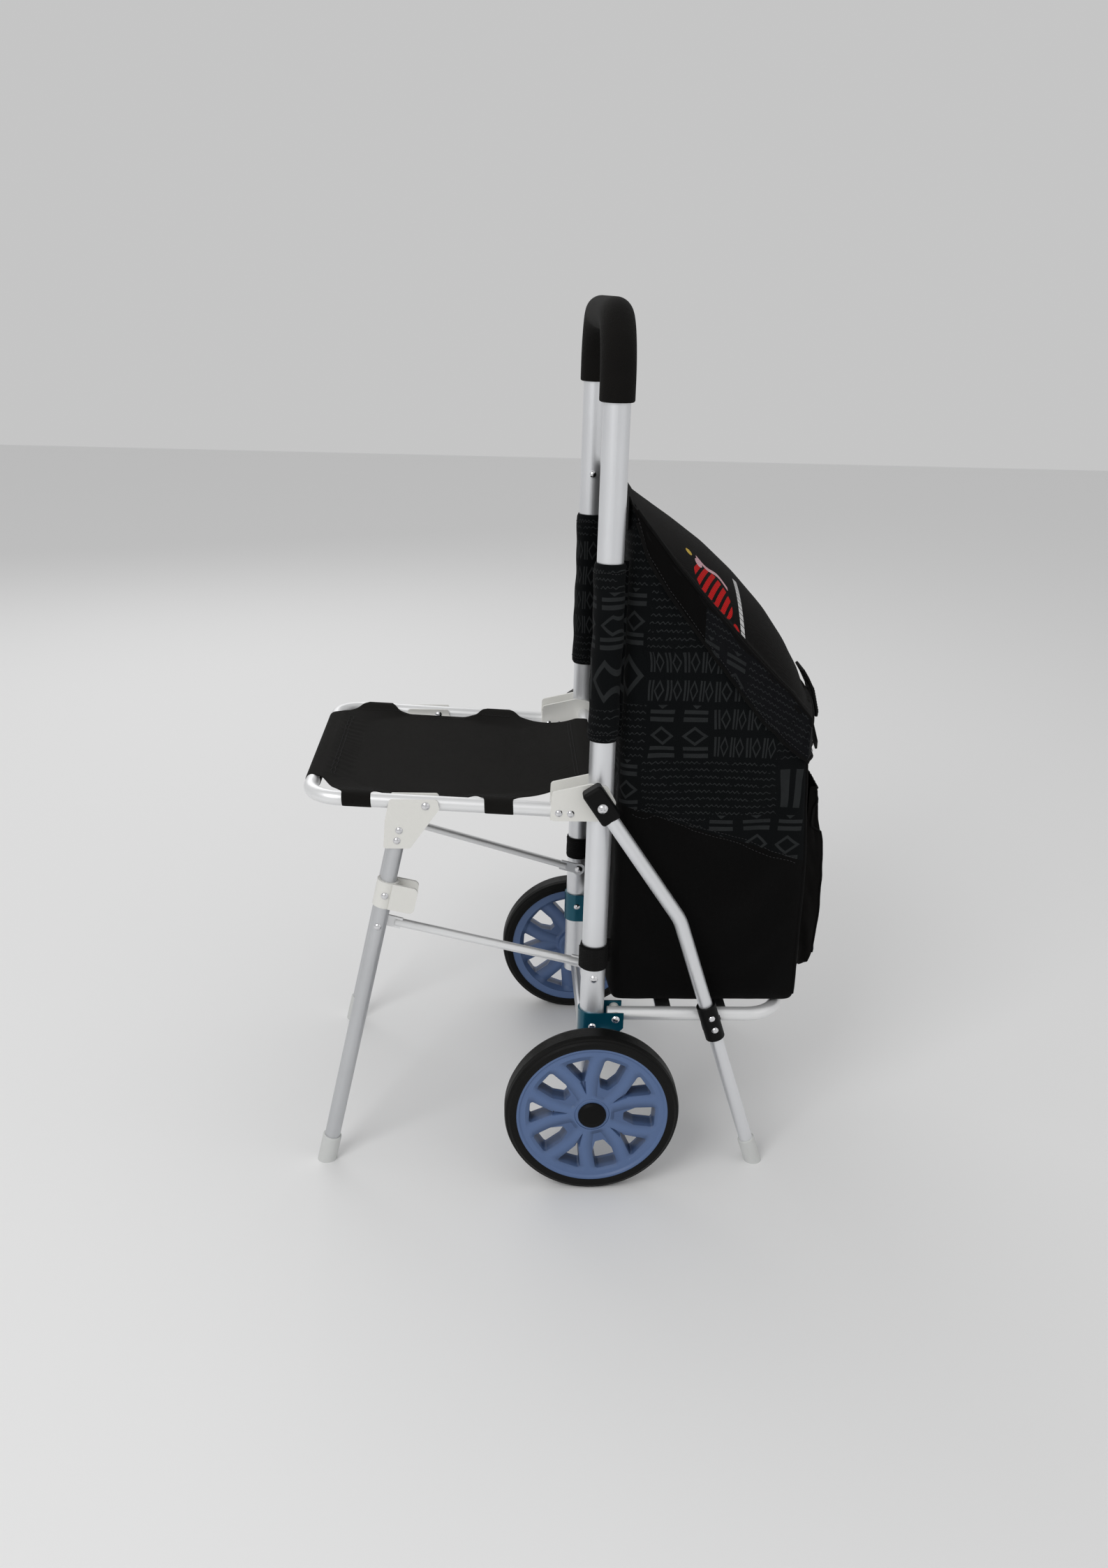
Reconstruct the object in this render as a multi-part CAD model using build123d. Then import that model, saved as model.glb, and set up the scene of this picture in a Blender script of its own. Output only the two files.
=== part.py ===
"""Two-wheeled shopping cart with a fold-down seat: one STEP file for each sub-part, in millimetres.

+Z is up, +X is the right hand of the person who pushes, and +Y points from the handle to the bag.
Every part is drawn with the two handle tubes at Y = 0, then moved by tube_y, so that the origin
is on the ground in the middle of the whole cart. Right-hand parts are drawn and mirrored.
"""

import os
from math import atan2, cos, degrees, radians, sin

from build123d import *

# ---- driving dimensions ----
fit = 0.05              # radial clearance of a pin in the part that turns on it
gap = 0.3               # clearance between parts that pass each other

wheel_radius = 100.0
tyre_width = 32.0
rim_radius = 86.5
wheel_x = 212.0         # middle plane of a wheel
axle_radius = 6.0

tube_x = 160.0          # handle tubes
tube_radius = 14.0
tube_wall = 1.5
tube_foot = 86.0
handle_height = 960.0   # axis of the handle's top bar
handle_corner = 62.0
grip_radius = 18.0
grip_low = 880.0

seat_x = 166.0          # seat rails and front legs
seat_radius = 8.0
pivot_z = 463.0         # seat pivot, on the axis of the handle tubes
rail_drop = 15.0        # rail axis below the seat pivot
seat_rise = 2.57        # degrees that the seat climbs to the front
seat_depth = 317.5      # front bar's axis, from the pivot
seat_corner = 34.0
cloth = 2.0             # thickness of the seat cloth

leg_pin = (-190.0, 456.5)      # front leg's pivot on the seat rail, as (Y, Z)
leg_foot = (-310.0, 0.0)
leg_lean = 0.2133              # forward run of a front leg for each mm that it drops
leg_radius = 9.0
leg_top = 436.0
cap_floor = 10.0               # a leg's tube starts this far up in its foot cap
link_pin_leg = (-244.0, 311.0)
link_pin_tube = (0.0, 246.0)
link_radius = 5.0
link_x_leg = 151.5
link_x_tube = 137.5

stay_x = 187.0          # rear leg's axis at the seat pivot; it leans in by stay_lean
stay_lean = 0.0385
stay_radius = 8.0
stay_bend = (93.0, 326.0)
stay_foot = (202.0, 0.0)
saddle = (138.5, 195.0)

platform_z = 195.0
platform_reach = 222.0  # axis of the platform's outer bar
platform_pin = 27.0

bag_half = 152.0
bag_back = 20.0
bag_front = 240.0
bag_floor = 203.5
bag_rim_front = 545.0
bag_rim_back = 752.0
bag_skin = 3.0
pocket_half = 118.0
pocket_reach = 280.0
flap_half = 158.0
flap_hinge = (22.0, 786.0)
seat_reach = (seat_depth * cos(radians(seat_rise)) + rail_drop * sin(radians(seat_rise))
              + seat_radius + cloth + fit)

tube_y = (seat_reach - pocket_reach) / 2


# ---- small helpers ----
def rod(start, end, radius, bore=0.0):
    """Round bar or tube between two points."""
    run = Vector(*end) - Vector(*start)
    section = Circle(radius)
    if bore:
        section -= Circle(bore)
    return extrude(Plane(origin=start, z_dir=run) * section, run.length)


def cross(x0, x1, at, radius, bore=0.0):
    """Round bar along X, centred on at = (Y, Z)."""
    return rod((x0, *at), (x1, *at), radius, bore)


def block(x0, x1, y0, y1, z0, z1):
    """Rectangular block between two corners."""
    size = Box(x1 - x0, y1 - y0, z1 - z0)
    return Pos((x0 + x1) / 2, (y0 + y1) / 2, (z0 + z1) / 2) * size


def plate(x0, x1, outline, corner=0.0):
    """Flat plate across X, cut to an outline of (Y, Z) points with rounded corners."""
    face = make_face(Polyline(*outline, close=True))
    if corner:
        face = fillet(face.vertices(), corner)
    return extrude(Plane.YZ.offset(x0) * face, x1 - x0)


def dome(x, at, radius, height, side=1):
    """Domed rivet head that stands on the plane at x, pointing along +X or -X."""
    ball = (radius**2 + height**2) / (2 * height)
    half = atan2(radius, ball - height) / 2
    mid = (side * (height - ball + ball * cos(half)), ball * sin(half))
    arc = ThreePointArc((0, radius), mid, (side * height, 0))
    sides = Polyline((side * height, 0), (0, 0), (0, radius))
    return Pos(x, *at) * revolve(make_face(arc + sides), Axis.X)


def rivet(x0, x1, at, shank=2.5, head=4.2, height=2.2):
    """Round rivet along X with a domed head at each end."""
    body = cross(x0, x1, at, shank)
    return body + dome(x1, at, head, height) + dome(x0, at, head, height, -1)


def pair(right):
    """The right-hand part and its mirror image, as two solids of one node."""
    return Compound(children=[*right.solids(), *mirror(right, about=Plane.YZ).solids()])


def write(node, shape):
    """Moves a part to the cart's own origin and writes it."""
    placed = Pos(0, tube_y, 0) * shape
    placed.label = node
    export_step(placed, f"parts/{node}.step")


def write_sides(node, right):
    """Writes the right-hand part and its mirror image as two nodes."""
    write(f"{node}_right", right)
    write(f"{node}_left", mirror(right, about=Plane.YZ))


# ---- places worked out from the dimensions ----
pivot = (0.0, pivot_z)
rise = radians(seat_rise)
seat_frame = Pos(0, -rail_drop * sin(rise), pivot_z - rail_drop * cos(rise)) * Rot(X=-seat_rise)


def leg_at(z):
    """(Y, Z) of the front leg's axis at a height."""
    return (leg_foot[0] + leg_lean * z, z)


def stay_point(at):
    """(X, Y, Z) of the rear leg's axis: it leans inwards as it goes down."""
    return (stay_x - stay_lean * (pivot_z - at[1]), *at)


def stay_lower(z):
    """Point of the rear leg's straight lower part at a height."""
    share = (stay_bend[1] - z) / (stay_bend[1] - stay_foot[1])
    return stay_point((stay_bend[0] + share * (stay_foot[0] - stay_bend[0]), z))


# ---- handle frame ----
def u_tube(half, low, high, corner, radius, bore):
    """Tube bent to an upside-down U, standing on Y = 0."""
    route = FilletPolyline((half, 0, low), (half, 0, high), (-half, 0, high), (-half, 0, low),
                           radius=corner)
    section = Plane(origin=(half, 0, low), z_dir=(0, 0, 1)) * (Circle(radius) - Circle(bore))
    return sweep(section, path=route)


def handle_tube():
    frame = u_tube(tube_x, tube_foot, handle_height, handle_corner, tube_radius,
                   tube_radius - tube_wall)
    reach = wheel_x
    frame -= cross(-reach, reach, (0, wheel_radius), axle_radius + fit)
    frame -= cross(-reach, reach, pivot, screw_radius + fit)
    frame -= cross(-reach, reach, link_pin_tube, pin_radius)
    frame -= cross(-reach, reach, bracket_rivet, 2.5)
    return frame


def grip():
    foam = u_tube(tube_x, grip_low, handle_height, handle_corner, grip_radius, tube_radius + fit)
    ends = foam.edges().filter_by(GeomType.CIRCLE).group_by(Axis.Z)[0]
    outer = [e for e in ends if e.radius > tube_radius + 1]
    return fillet(outer, 2.5)


def bag_stud():
    """Press stud on the inner side of a handle tube."""
    face = tube_x - tube_radius
    stud = cross(face - 2.5, face + 1.0, (0, stud_z), 4.0) + dome(face - 2.5, (0, stud_z), 4.0, 1.8, -1)
    return stud - rod((tube_x, 0, stud_z - 9), (tube_x, 0, stud_z + 9), tube_radius)


# ---- axle and wheels ----
hub_in = -17.0          # hub's two ends, from the wheel's middle plane
hub_out = 13.0
hub_radius = 20.0
bush_radius = 9.0
bush_out = 7.0
windows = 5
first_window = 69.5     # degrees
large_window = [(36, -8), (36, 8), (50, 13.5), (73.5, 10.5), (73.5, -10.5), (50, -13.5)]
small_window = [(41, 0), (73.5, 12), (73.5, -12)]
spoke_groove = [(22, 0), (46, 5), (46, -5)]


def axle():
    end = wheel_x + hub_out - 2
    return cross(-end, end, (0, wheel_radius), axle_radius)


def axle_spacer():
    """Sleeve between a handle tube and a wheel hub."""
    body = cross(tube_x, wheel_x + hub_in - gap, (0, wheel_radius), 10.0, axle_radius + fit)
    return body - rod((tube_x, 0, 80), (tube_x, 0, 120), tube_radius)


def axle_nut():
    """Push-on nut that keeps a wheel on the axle."""
    low = wheel_x + bush_out + gap
    return cross(low, low + 3, (0, wheel_radius), 9.0, axle_radius)


def on_wheel(section):
    """Turns a half-section of (distance along X, radius) points about the axle."""
    face = make_face(Polyline(*[(x, r, 0) for x, r in section], close=True))
    ring = revolve(face, Axis.X)
    return Pos(wheel_x, 0, wheel_radius) * ring


def tyre():
    half = tyre_width / 2
    profile = [(-half + 1, rim_radius), (-half, rim_radius + 3), (-half, 94), (-half + 1.6, 96.2),
               (-half + 2.4, 96.0), (-half + 3.6, 98.6), (-8, wheel_radius), (8, wheel_radius),
               (half - 3.6, 98.6), (half - 2.4, 96.0), (half - 1.6, 96.2), (half, 94),
               (half, rim_radius + 3), (half - 1, rim_radius)]
    return on_wheel(profile)


def window(angle, corners, rounds, depth=26.0, draft=4.0):
    """Tapered opening in the wheel's outer face, as (radius, angle from its middle) corners."""
    points = [(r * cos(radians(angle + a)), r * sin(radians(angle + a))) for r, a in corners]
    face = make_face(Polyline(*points, close=True))
    for corner, radius in zip(points, rounds):
        face = fillet(face.vertices().sort_by_distance((*corner, 0))[0], radius)
    front = Plane(origin=(wheel_x + hub_out + 1.5, 0, wheel_radius), x_dir=(0, 1, 0),
                  z_dir=(1, 0, 0))
    return extrude(front * face, -depth, taper=draft)


def rim():
    """Spoked wheel body: five large and five small windows, with a groove from each small one."""
    band = on_wheel([(-14, 76), (-14, rim_radius), (14.5, rim_radius), (14.5, 84), (12.8, 82),
                     (12.8, 20), (8, 20), (-7, 20), (-7, 70), (-12, 76)])
    hub = on_wheel([(hub_in, bush_radius), (hub_in, hub_radius - 3), (hub_in + 3, hub_radius),
                    (hub_out - 1, hub_radius), (hub_out, hub_radius - 1), (hub_out, 12),
                    (bush_out, 12), (bush_out, bush_radius)])
    body = band + hub
    for n in range(windows):
        turn = first_window + n * 360 / windows
        between = turn + 180 / windows
        body -= window(turn, large_window, (3, 3, 6, 4, 4, 6))
        body -= window(between, small_window, (1.2, 3, 3))
        body -= window(between, spoke_groove, (0.5, 0.5, 0.5), depth=5.5, draft=20.0)
    return body


def wheel_bush():
    return cross(wheel_x + hub_in, wheel_x + bush_out, (0, wheel_radius), bush_radius,
                 axle_radius + fit)


def hub_cap():
    face = wheel_x + hub_out
    plug = cross(face - 3, face, (0, wheel_radius), 12.0, 10.0)
    disc = on_wheel([(hub_out, 0), (hub_out, 16), (hub_out + 2, 16), (hub_out + 4.4, 13.5),
                     (hub_out + 5.6, 9), (hub_out + 6, 0)])
    return plug + disc


# ---- brackets at the foot of the handle tubes, and the platform ----
bracket_rivet = (0.0, 186.0)
bracket_low = 164.0
bracket_high = 203.0
bracket_back = 36.0
sheet = 2.0


def frame_bracket():
    """Channel of sheet metal round the front of a handle tube; its cheeks hold the platform."""
    outer = tube_radius + fit + sheet
    inner = tube_radius + fit

    def channel(r, back):
        slot = Circle(r) + Pos(0, back / 2) * Rectangle(2 * r, back)
        return extrude(Pos(tube_x, 0, bracket_low) * slot, bracket_high - bracket_low)

    body = channel(outer, bracket_back) - channel(inner, bracket_back + 1)
    trim = [(16, bracket_low - 1), (bracket_back + 1, bracket_low - 1), (bracket_back + 1, 185)]
    body -= plate(tube_x - 20, tube_x + 20, trim)
    body -= cross(tube_x - 20, tube_x + 20, bracket_rivet, 2.5)
    return body - cross(tube_x - 20, tube_x + 20, (platform_pin, platform_z), pin_radius)


def frame_rivets():
    side = tube_radius + fit + sheet
    return (rivet(tube_x - side, tube_x + side, bracket_rivet)
            + rivet(tube_x - side, tube_x + side, (platform_pin, platform_z), pin_radius, 4.6))


def platform_spacer():
    """Two rings that keep the platform tube in the middle of its bracket."""
    at = (platform_pin, platform_z)
    rings = [cross(tube_x + s * stay_radius, tube_x + s * (tube_radius + fit), at, 6.0, pin_radius)
             for s in (-1, 1)]
    tube = rod((tube_x, 0, platform_z), (tube_x, 60, platform_z), stay_radius)
    return rings[0] + rings[1] - tube


def platform():
    """U of tube that carries the bag."""
    start = platform_pin - 9
    route = FilletPolyline((tube_x, start, platform_z), (tube_x, platform_reach, platform_z),
                           (-tube_x, platform_reach, platform_z), (-tube_x, start, platform_z),
                           radius=42)
    section = Plane(origin=(tube_x, start, platform_z), z_dir=(0, 1, 0))
    tube = sweep(section * (Circle(stay_radius) - Circle(stay_radius - 1.2)), path=route)
    return tube - cross(-200, 200, (platform_pin, platform_z), pin_radius)


def platform_bars():
    """Two flat bars across the platform, under the bag."""
    side = tube_x - stay_radius + 1.0
    bars = [block(-side, side, y - 9, y + 9, platform_z - 1.5, platform_z + 1.5) for y in (85, 150)]
    rails = cross_rails()
    return Compound(children=[*(bars[0] - rails).solids(), *(bars[1] - rails).solids()])


def cross_rails():
    """The space taken by the platform's two side tubes."""
    return Compound(children=[rod((s * tube_x, 20, platform_z), (s * tube_x, 180, platform_z),
                                  stay_radius) for s in (-1, 1)])


# ---- rear legs ----
pin_radius = 3.0
screw_radius = 3.0
stay_run = Vector(*stay_point(stay_bend)) - Vector(*stay_point(pivot))
stay_way = stay_run.normalized()
cap_above = 24.0
cap_below = 20.0


def rear_leg():
    """Tube from the seat pivot, bent once, past the platform to the ground."""
    top = Vector(*stay_point(pivot)) - stay_way * (cap_above - 4)
    route = FilletPolyline(top, stay_point(stay_bend), stay_lower(cap_floor), radius=55)
    section = Plane(origin=top, z_dir=stay_way) * (Circle(stay_radius) - Circle(stay_radius - 1.2))
    tube = sweep(section, path=route)
    tube -= cross(tube_x, wheel_x, pivot, screw_radius)
    for at in saddle_rivets:
        tube -= cross(tube_x, wheel_x, at, 2.5)
    return tube


def end_cap():
    """Plastic cap on the top end of a rear leg, with the pivot screw through it."""
    middle = Vector(*stay_point(pivot)) + stay_way * ((cap_below - cap_above) / 2)
    lie = Plane(origin=middle, x_dir=(1, 0, 0), z_dir=stay_way)
    body = lie * Box(18, 23, cap_above + cap_below)
    body = fillet(body.edges(), 4)
    start = Vector(*stay_point(pivot)) - stay_way * (cap_above - 4)
    body -= rod(start, start + stay_way * 60, stay_radius)
    return body - cross(tube_x, wheel_x, pivot, screw_radius)


def pivot_screw():
    """Screw through cap, leg, seat bracket and handle tube into the cross bar."""
    face = stay_x + 9.8
    shank = cross(bar_end - 16, face, pivot, screw_radius)
    head = dome(face, pivot, 5.6, 3.0)
    slots = block(face + 1.6, face + 4, -3.2, 3.2, pivot_z - 0.6, pivot_z + 0.6)
    slots += block(face + 1.6, face + 4, -0.6, 0.6, pivot_z - 3.2, pivot_z + 3.2)
    return shank + head - slots


saddle_rivets = ((136.0, 203.0), (141.0, 188.0))


def leg_saddle():
    """Plastic saddle riveted on a rear leg, with a half-round seat for the platform tube."""
    top = stay_lower(saddle[1] + 21)
    low = stay_lower(saddle[1] - 21)
    body = rod(top, low, stay_radius + 3.2)
    x = stay_point(saddle)[0]
    body += block(tube_x + 2, x, saddle[0] - 10, saddle[0] + 10, saddle[1] - 12, saddle[1] + 3)
    body -= rod(stay_lower(saddle[1] + 40), stay_lower(saddle[1] - 40), stay_radius)
    body -= rod((tube_x, 60, platform_z), (tube_x, 200, platform_z), stay_radius)
    body -= block(tube_x - 5, tube_x + 9, 60, 200, platform_z, platform_z + 30)
    for at in saddle_rivets:
        body -= cross(tube_x, wheel_x, at, 2.5)
    return body


def saddle_rivet():
    x = stay_point(saddle)[0]
    skin = stay_radius + 3.2
    shanks = [cross(x + 2, x + skin, at, 2.5) for at in saddle_rivets]
    heads = [dome(x + skin - 0.7, at, 4.0, 2.4) for at in saddle_rivets]
    upper = stay_lower(235)
    lower = stay_lower(160)
    pins = [shank - rod(upper, lower, stay_radius - 1.2)
            + (head - rod(upper, lower, skin)) for shank, head in zip(shanks, heads)]
    return Compound(children=pins)


def foot_cap(lower, upper, radius):
    """Rounded plastic cap over the bottom of a leg, cut flat where it meets the ground."""
    way = (Vector(*upper) - Vector(*lower)).normalized()
    base = Vector(*lower) - way * 12
    body = rod(base, Vector(*lower) + way * 34, radius + 2)
    body = fillet(body.edges().group_by(Axis.Z)[-1], 1.2)
    body -= rod(Vector(*lower) + way * cap_floor, Vector(*lower) + way * 60, radius)
    ground = Pos(lower[0], lower[1], -25) * Box(90, 90, 50)
    return body - ground


# ---- seat ----
bar_end = tube_x - tube_radius - 3.5 - gap
cheek = 3.0
cheek_out = (tube_x + tube_radius + gap, tube_x + tube_radius + gap + cheek)
cheek_in = (bar_end + 0.2, bar_end + 0.2 + cheek)
seat_rivets = ((-46.0, 450.0), (-33.0, 449.4))


def seat_tube():
    """U of tube under the edge of the seat cloth."""
    start = -30.0
    route = FilletPolyline((seat_x, start, 0), (seat_x, -seat_depth, 0), (-seat_x, -seat_depth, 0),
                           (-seat_x, start, 0), radius=seat_corner)
    section = Plane(origin=(seat_x, start, 0), z_dir=(0, -1, 0))
    tube = sweep(section * (Circle(seat_radius) - Circle(seat_radius - 1.2)), path=route)
    tube = seat_frame * tube
    tube -= cross(-200, 200, leg_pin, pin_radius)
    for at in seat_rivets:
        tube -= cross(-200, 200, at, 2.5)
    return tube


def cross_bar():
    """Tube between the handle tubes at the seat pivot; the rear of the seat cloth hangs on it."""
    bar = cross(-bar_end, bar_end, pivot, seat_radius)
    bore = cross(-bar_end + 20, bar_end - 20, pivot, seat_radius - 1.2)
    return bar - bore - cross(-bar_end - 1, bar_end + 1, pivot, screw_radius)


def seat_bracket():
    """Plastic clevis: two cheeks on the pivot screw and a block that holds the end of a rail."""
    outline = [(-55, 441), (-54, 474), (-12, 484), (6, 481), (16, 463), (10, 446), (-4, 441)]
    body = plate(*cheek_out, outline, 4) + plate(*cheek_in, outline, 4)
    socket = [(-55, 441), (-54.6, 459), (-29, 455.5), (-25, 441)]
    body += plate(cheek_in[1] - 0.5, cheek_out[0] + 0.5, socket)
    body -= seat_frame * rod((seat_x, -29.9, 0), (seat_x, -70, 0), seat_radius)
    body -= cross(120, 200, pivot, screw_radius + fit)
    for at in seat_rivets:
        body -= cross(120, 200, at, 2.5)
    return body


def seat_bracket_rivets():
    pins = [rivet(cheek_in[0], cheek_out[1], at) for at in seat_rivets]
    return Compound(children=pins)


def cloth_ring(start, end, inner):
    """Loop of cloth round a tube."""
    return rod(start, end, inner + cloth, inner)


def seat_sling():
    """Cloth seat: a sheet over the rails with loops round the rails, front bar and cross bar."""
    low = seat_radius + fit
    bar_low = rail_drop + seat_radius + gap
    side = [(-seat_depth, low), (-92, low), (-4, bar_low), (-4, bar_low + cloth),
            (-92, low + cloth), (-seat_depth, low + cloth)]
    sheet_body = plate(-seat_x, seat_x, side)
    half = [(118, -seat_depth), (128, -302), (150, -284), (seat_x, -283), (seat_x, -247),
            (154, -243), (153, -190), (154, -134), (seat_x, -130), (seat_x, -92), (154, -89),
            (136, -66), (112, -28), (101, -4)]
    outline = half + [(-x, y) for x, y in reversed(half)]
    cut = extrude(Pos(0, 0, -5) * make_face(Polyline(*outline, close=True)), 60)
    body = sheet_body & cut
    for side_x in (seat_x, -seat_x):
        body += cloth_ring((side_x, -283, 0), (side_x, -247, 0), low)
        body += cloth_ring((side_x, -130, 0), (side_x, -92, 0), low)
    body += cloth_ring((-118, -seat_depth, 0), (118, -seat_depth, 0), low)
    body += cloth_ring((-101, 0, rail_drop), (101, 0, rail_drop), seat_radius + gap)
    body -= rod((-120, -seat_depth, 0), (120, -seat_depth, 0), low)
    body -= rod((-103, 0, rail_drop), (103, 0, rail_drop), seat_radius + gap)
    return seat_frame * body


# ---- front legs ----
plate_t = 2.5
plate_out = (seat_x + leg_radius + fit, seat_x + leg_radius + fit + plate_t)
plate_in = (seat_x - leg_radius - fit - plate_t, seat_x - leg_radius - fit)
leg_rivets = (leg_at(428.0), leg_at(416.0))
clip_z = 350.0
clip_reach = 35.0


def front_leg():
    tube = rod((seat_x, *leg_at(cap_floor)), (seat_x, *leg_at(leg_top)), leg_radius, leg_radius - 1.2)
    for at in (*leg_rivets, leg_at(clip_z), link_pin_leg):
        tube -= cross(120, 200, at, 2.5)
    return tube


def leg_bracket():
    """Plastic channel riveted on the top of a front leg; it straddles the seat rail."""
    outline = [(-229, 463.5), (-177, 463.5), (-175, 453), (-207, 407), (-236, 407), (-234, 440)]
    body = plate(*plate_out, outline, 3.5) + plate(*plate_in, outline, 3.5)
    web = [(-236, 407), (-234, 436), (-231.5, 436), (-233.5, 407)]
    body += plate(plate_in[1] - 0.5, plate_out[0] + 0.5, web)
    body -= rod((seat_x, *leg_at(380)), (seat_x, *leg_at(450)), leg_radius + 0.01)
    body -= cross(120, 200, leg_pin, pin_radius + fit)
    for at in leg_rivets:
        body -= cross(120, 200, at, 2.5)
    return body


def leg_bracket_rivets():
    return Compound(children=[rivet(plate_in[0], plate_out[1], at) for at in leg_rivets])


def leg_pivot_pin():
    """Pin in the seat rail that a leg bracket turns on."""
    return rivet(plate_in[0] - 0.2, plate_out[1] + 0.2, leg_pin, pin_radius, 4.6)


def leg_clip():
    """Collar on a front leg whose two jaws close on the seat rail when the seat is folded."""
    lie = Pos(seat_x, *leg_at(clip_z)) * Rot(X=-degrees(atan2(leg_lean, 1)))
    collar = Cylinder(leg_radius + 3, 31) - Cylinder(leg_radius + fit, 40)
    jaw = Box(3, clip_reach - 6, 31)
    mid = (clip_reach + 6) / 2
    jaws = [Pos(s * (seat_radius + 1.9 + gap), mid, 0) * jaw for s in (-1, 1)]
    tips = [fillet(j.edges().filter_by(Axis.X).group_by(Axis.Y)[-1], 6) for j in jaws]
    body = collar + tips[0] + tips[1] - Cylinder(leg_radius + fit, 40)
    return lie * body - cross(120, 200, leg_at(clip_z), 2.5)


def leg_clip_rivet():
    return rivet(seat_x - leg_radius - 3, seat_x + leg_radius + 3, leg_at(clip_z))


def leg_stud():
    """Rivet head on the outer side of a front leg, where the link is fixed."""
    shank = cross(seat_x - leg_radius + 0.5, seat_x + leg_radius, link_pin_leg, 2.5)
    return shank + dome(seat_x + leg_radius, link_pin_leg, 4.2, 2.2)


# ---- links ----
link_way = Vector(link_x_tube - link_x_leg, link_pin_tube[0] - link_pin_leg[0],
                  link_pin_tube[1] - link_pin_leg[1]).normalized()
link_t = 3.0


def link_end(x, at, way):
    """Flattened end of a link: a rounded plate with the tube's end inside it."""
    turn = degrees(atan2(way[1], way[0]))
    slot = Pos(*at) * Rot(Z=turn) * (Circle(8) + Pos(13, 0) * Rectangle(26, 13))
    return extrude(Plane.YZ.offset(x - link_t / 2) * slot, link_t)


def link():
    """Tube with flattened ends, from the foot of a handle tube to a front leg."""
    leg_end = Vector(link_x_leg, *link_pin_leg)
    tube_end = Vector(link_x_tube, *link_pin_tube)
    way = (link_way.Y, link_way.Z)
    body = rod(leg_end + link_way * 18, tube_end - link_way * 18, link_radius, link_radius - 1)
    body += link_end(link_x_leg, link_pin_leg, way)
    body += link_end(link_x_tube, link_pin_tube, (-way[0], -way[1]))
    body -= cross(100, 170, link_pin_leg, 2.5)
    return body - cross(100, 170, link_pin_tube, pin_radius + fit)


def link_leg_rivet():
    """Shouldered rivet that fixes a link beside a front leg."""
    low = link_x_leg - link_t / 2
    high = link_x_leg + link_t / 2
    shoulder = cross(high, seat_x - leg_radius - gap, link_pin_leg, 5.5)
    return cross(low, high, link_pin_leg, 2.5) + shoulder + dome(low, link_pin_leg, 4.4, 2.0, -1)


def link_tube_pin():
    """Shouldered pin through a handle tube that a link turns on."""
    low = link_x_tube - link_t / 2
    high = link_x_tube + link_t / 2
    shank = cross(low - 0.2, tube_x + tube_radius, link_pin_tube, pin_radius)
    shoulder = cross(high + 0.2, tube_x - tube_radius + 1.5, link_pin_tube, 5.5)
    shoulder -= rod((tube_x, 0, 230), (tube_x, 0, 262), tube_radius)
    head = dome(low - 0.2, link_pin_tube, 5.0, 2.2, -1)
    return shank + shoulder + head + dome(tube_x + tube_radius, link_pin_tube, 4.6, 2.2)


# ---- bag ----
stud_z = 771.0
sleeve_low = 530.0
sleeve_high = 721.0
strap_low = 257.0
strap_high = 286.0


def bag_solid(half, inset, rim):
    """Block of the bag's outer shape, or of its inside when inset by the skin."""
    front = bag_front - inset
    back = bag_back + inset
    low = bag_floor + inset
    outline = [(back, low), (front, low), (front, bag_rim_front + rim), (back, bag_rim_back + rim)]
    body = plate(-half, half, outline)
    body = fillet(body.edges().filter_by(Axis.Z), 14 - inset)
    return fillet(body.edges().group_by(Axis.Z)[0], 8 - inset)


def bag_body():
    """Open-topped fabric bag with a back panel that runs up to the flap's seam."""
    shell = bag_solid(bag_half, 0, 0) - bag_solid(bag_half - bag_skin, bag_skin, 12)
    panel = block(-bag_half + 14, bag_half - 14, bag_back, bag_back + bag_skin, 700,
                  flap_hinge[1] - 6)
    return shell + panel


def bag_base_board():
    """Stiff board on the floor of the bag."""
    floor = bag_floor + bag_skin
    board = block(-bag_half + 9, bag_half - 9, bag_back + 9, bag_front - 9, floor, floor + 3)
    return fillet(board.edges().filter_by(Axis.Z), 10)


def bag_pocket():
    """Bulging open-topped pocket sewn on the front of the bag."""
    top = 462.0
    low = 238.0
    face = bag_front + 0.01
    outer = [(face, low + 6), (pocket_reach - 10, low), (pocket_reach, low + 12),
             (pocket_reach, 330), (pocket_reach - 8, 395), (bag_front + 9, top), (face, top)]
    inner = [(face - 1, low + 9), (pocket_reach - 11, low + 3), (pocket_reach - 3, low + 13),
             (pocket_reach - 3, 330), (pocket_reach - 11, 394), (bag_front + 6, top - 1),
             (bag_front + 6, top + 1), (face - 1, top + 1)]
    body = plate(-pocket_half, pocket_half, outer)
    return body - plate(-pocket_half + 3, pocket_half - 3, inner)


flap_crest = [(19, 790), (45, 770), (125, 716), (193, 650), (236, 592), (249, 555), (256, 522)]
flap_hem = [(253, 503), (174, 543), (100, 640), (24, 742)]


def flap_block(half, drop, edge):
    """Solid under the flap's crest line, from its hinge to its front edge."""
    top = Spline(*[(y, z) for y, z in flap_crest])
    low = Polyline(flap_crest[-1], *flap_hem, flap_crest[0])
    face = make_face(top + low)
    body = extrude(Plane.YZ.offset(-half) * face, 2 * half)
    return Pos(0, -drop * 0.5, -drop) * fillet(long_edges(body), edge)


def long_edges(body):
    """Edges along the flap's crest on its two sides."""
    keep = []
    for edge in body.edges():
        middle = edge.center()
        if edge.geom_type == GeomType.BSPLINE and abs(edge.bounding_box().size.X) < 1:
            if middle.Z > 600:
                keep.append(edge)
    return keep


def bag_flap():
    """Domed flap with side gussets that reach down past the bag's rim."""
    skin = 3.5
    outer = flap_block(flap_half, 0, 22)
    inner = flap_block(flap_half - 3, skin, 20)
    slots = extrude(Plane.YZ.offset(-flap_half + 3) * make_face(Polyline(
        (19, 700), (19, 780), (100, 690), (190, 600), (240, 530), (252, 480), (174, 480),
        close=True)), 2 * flap_half - 6)
    return outer - inner - slots


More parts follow.
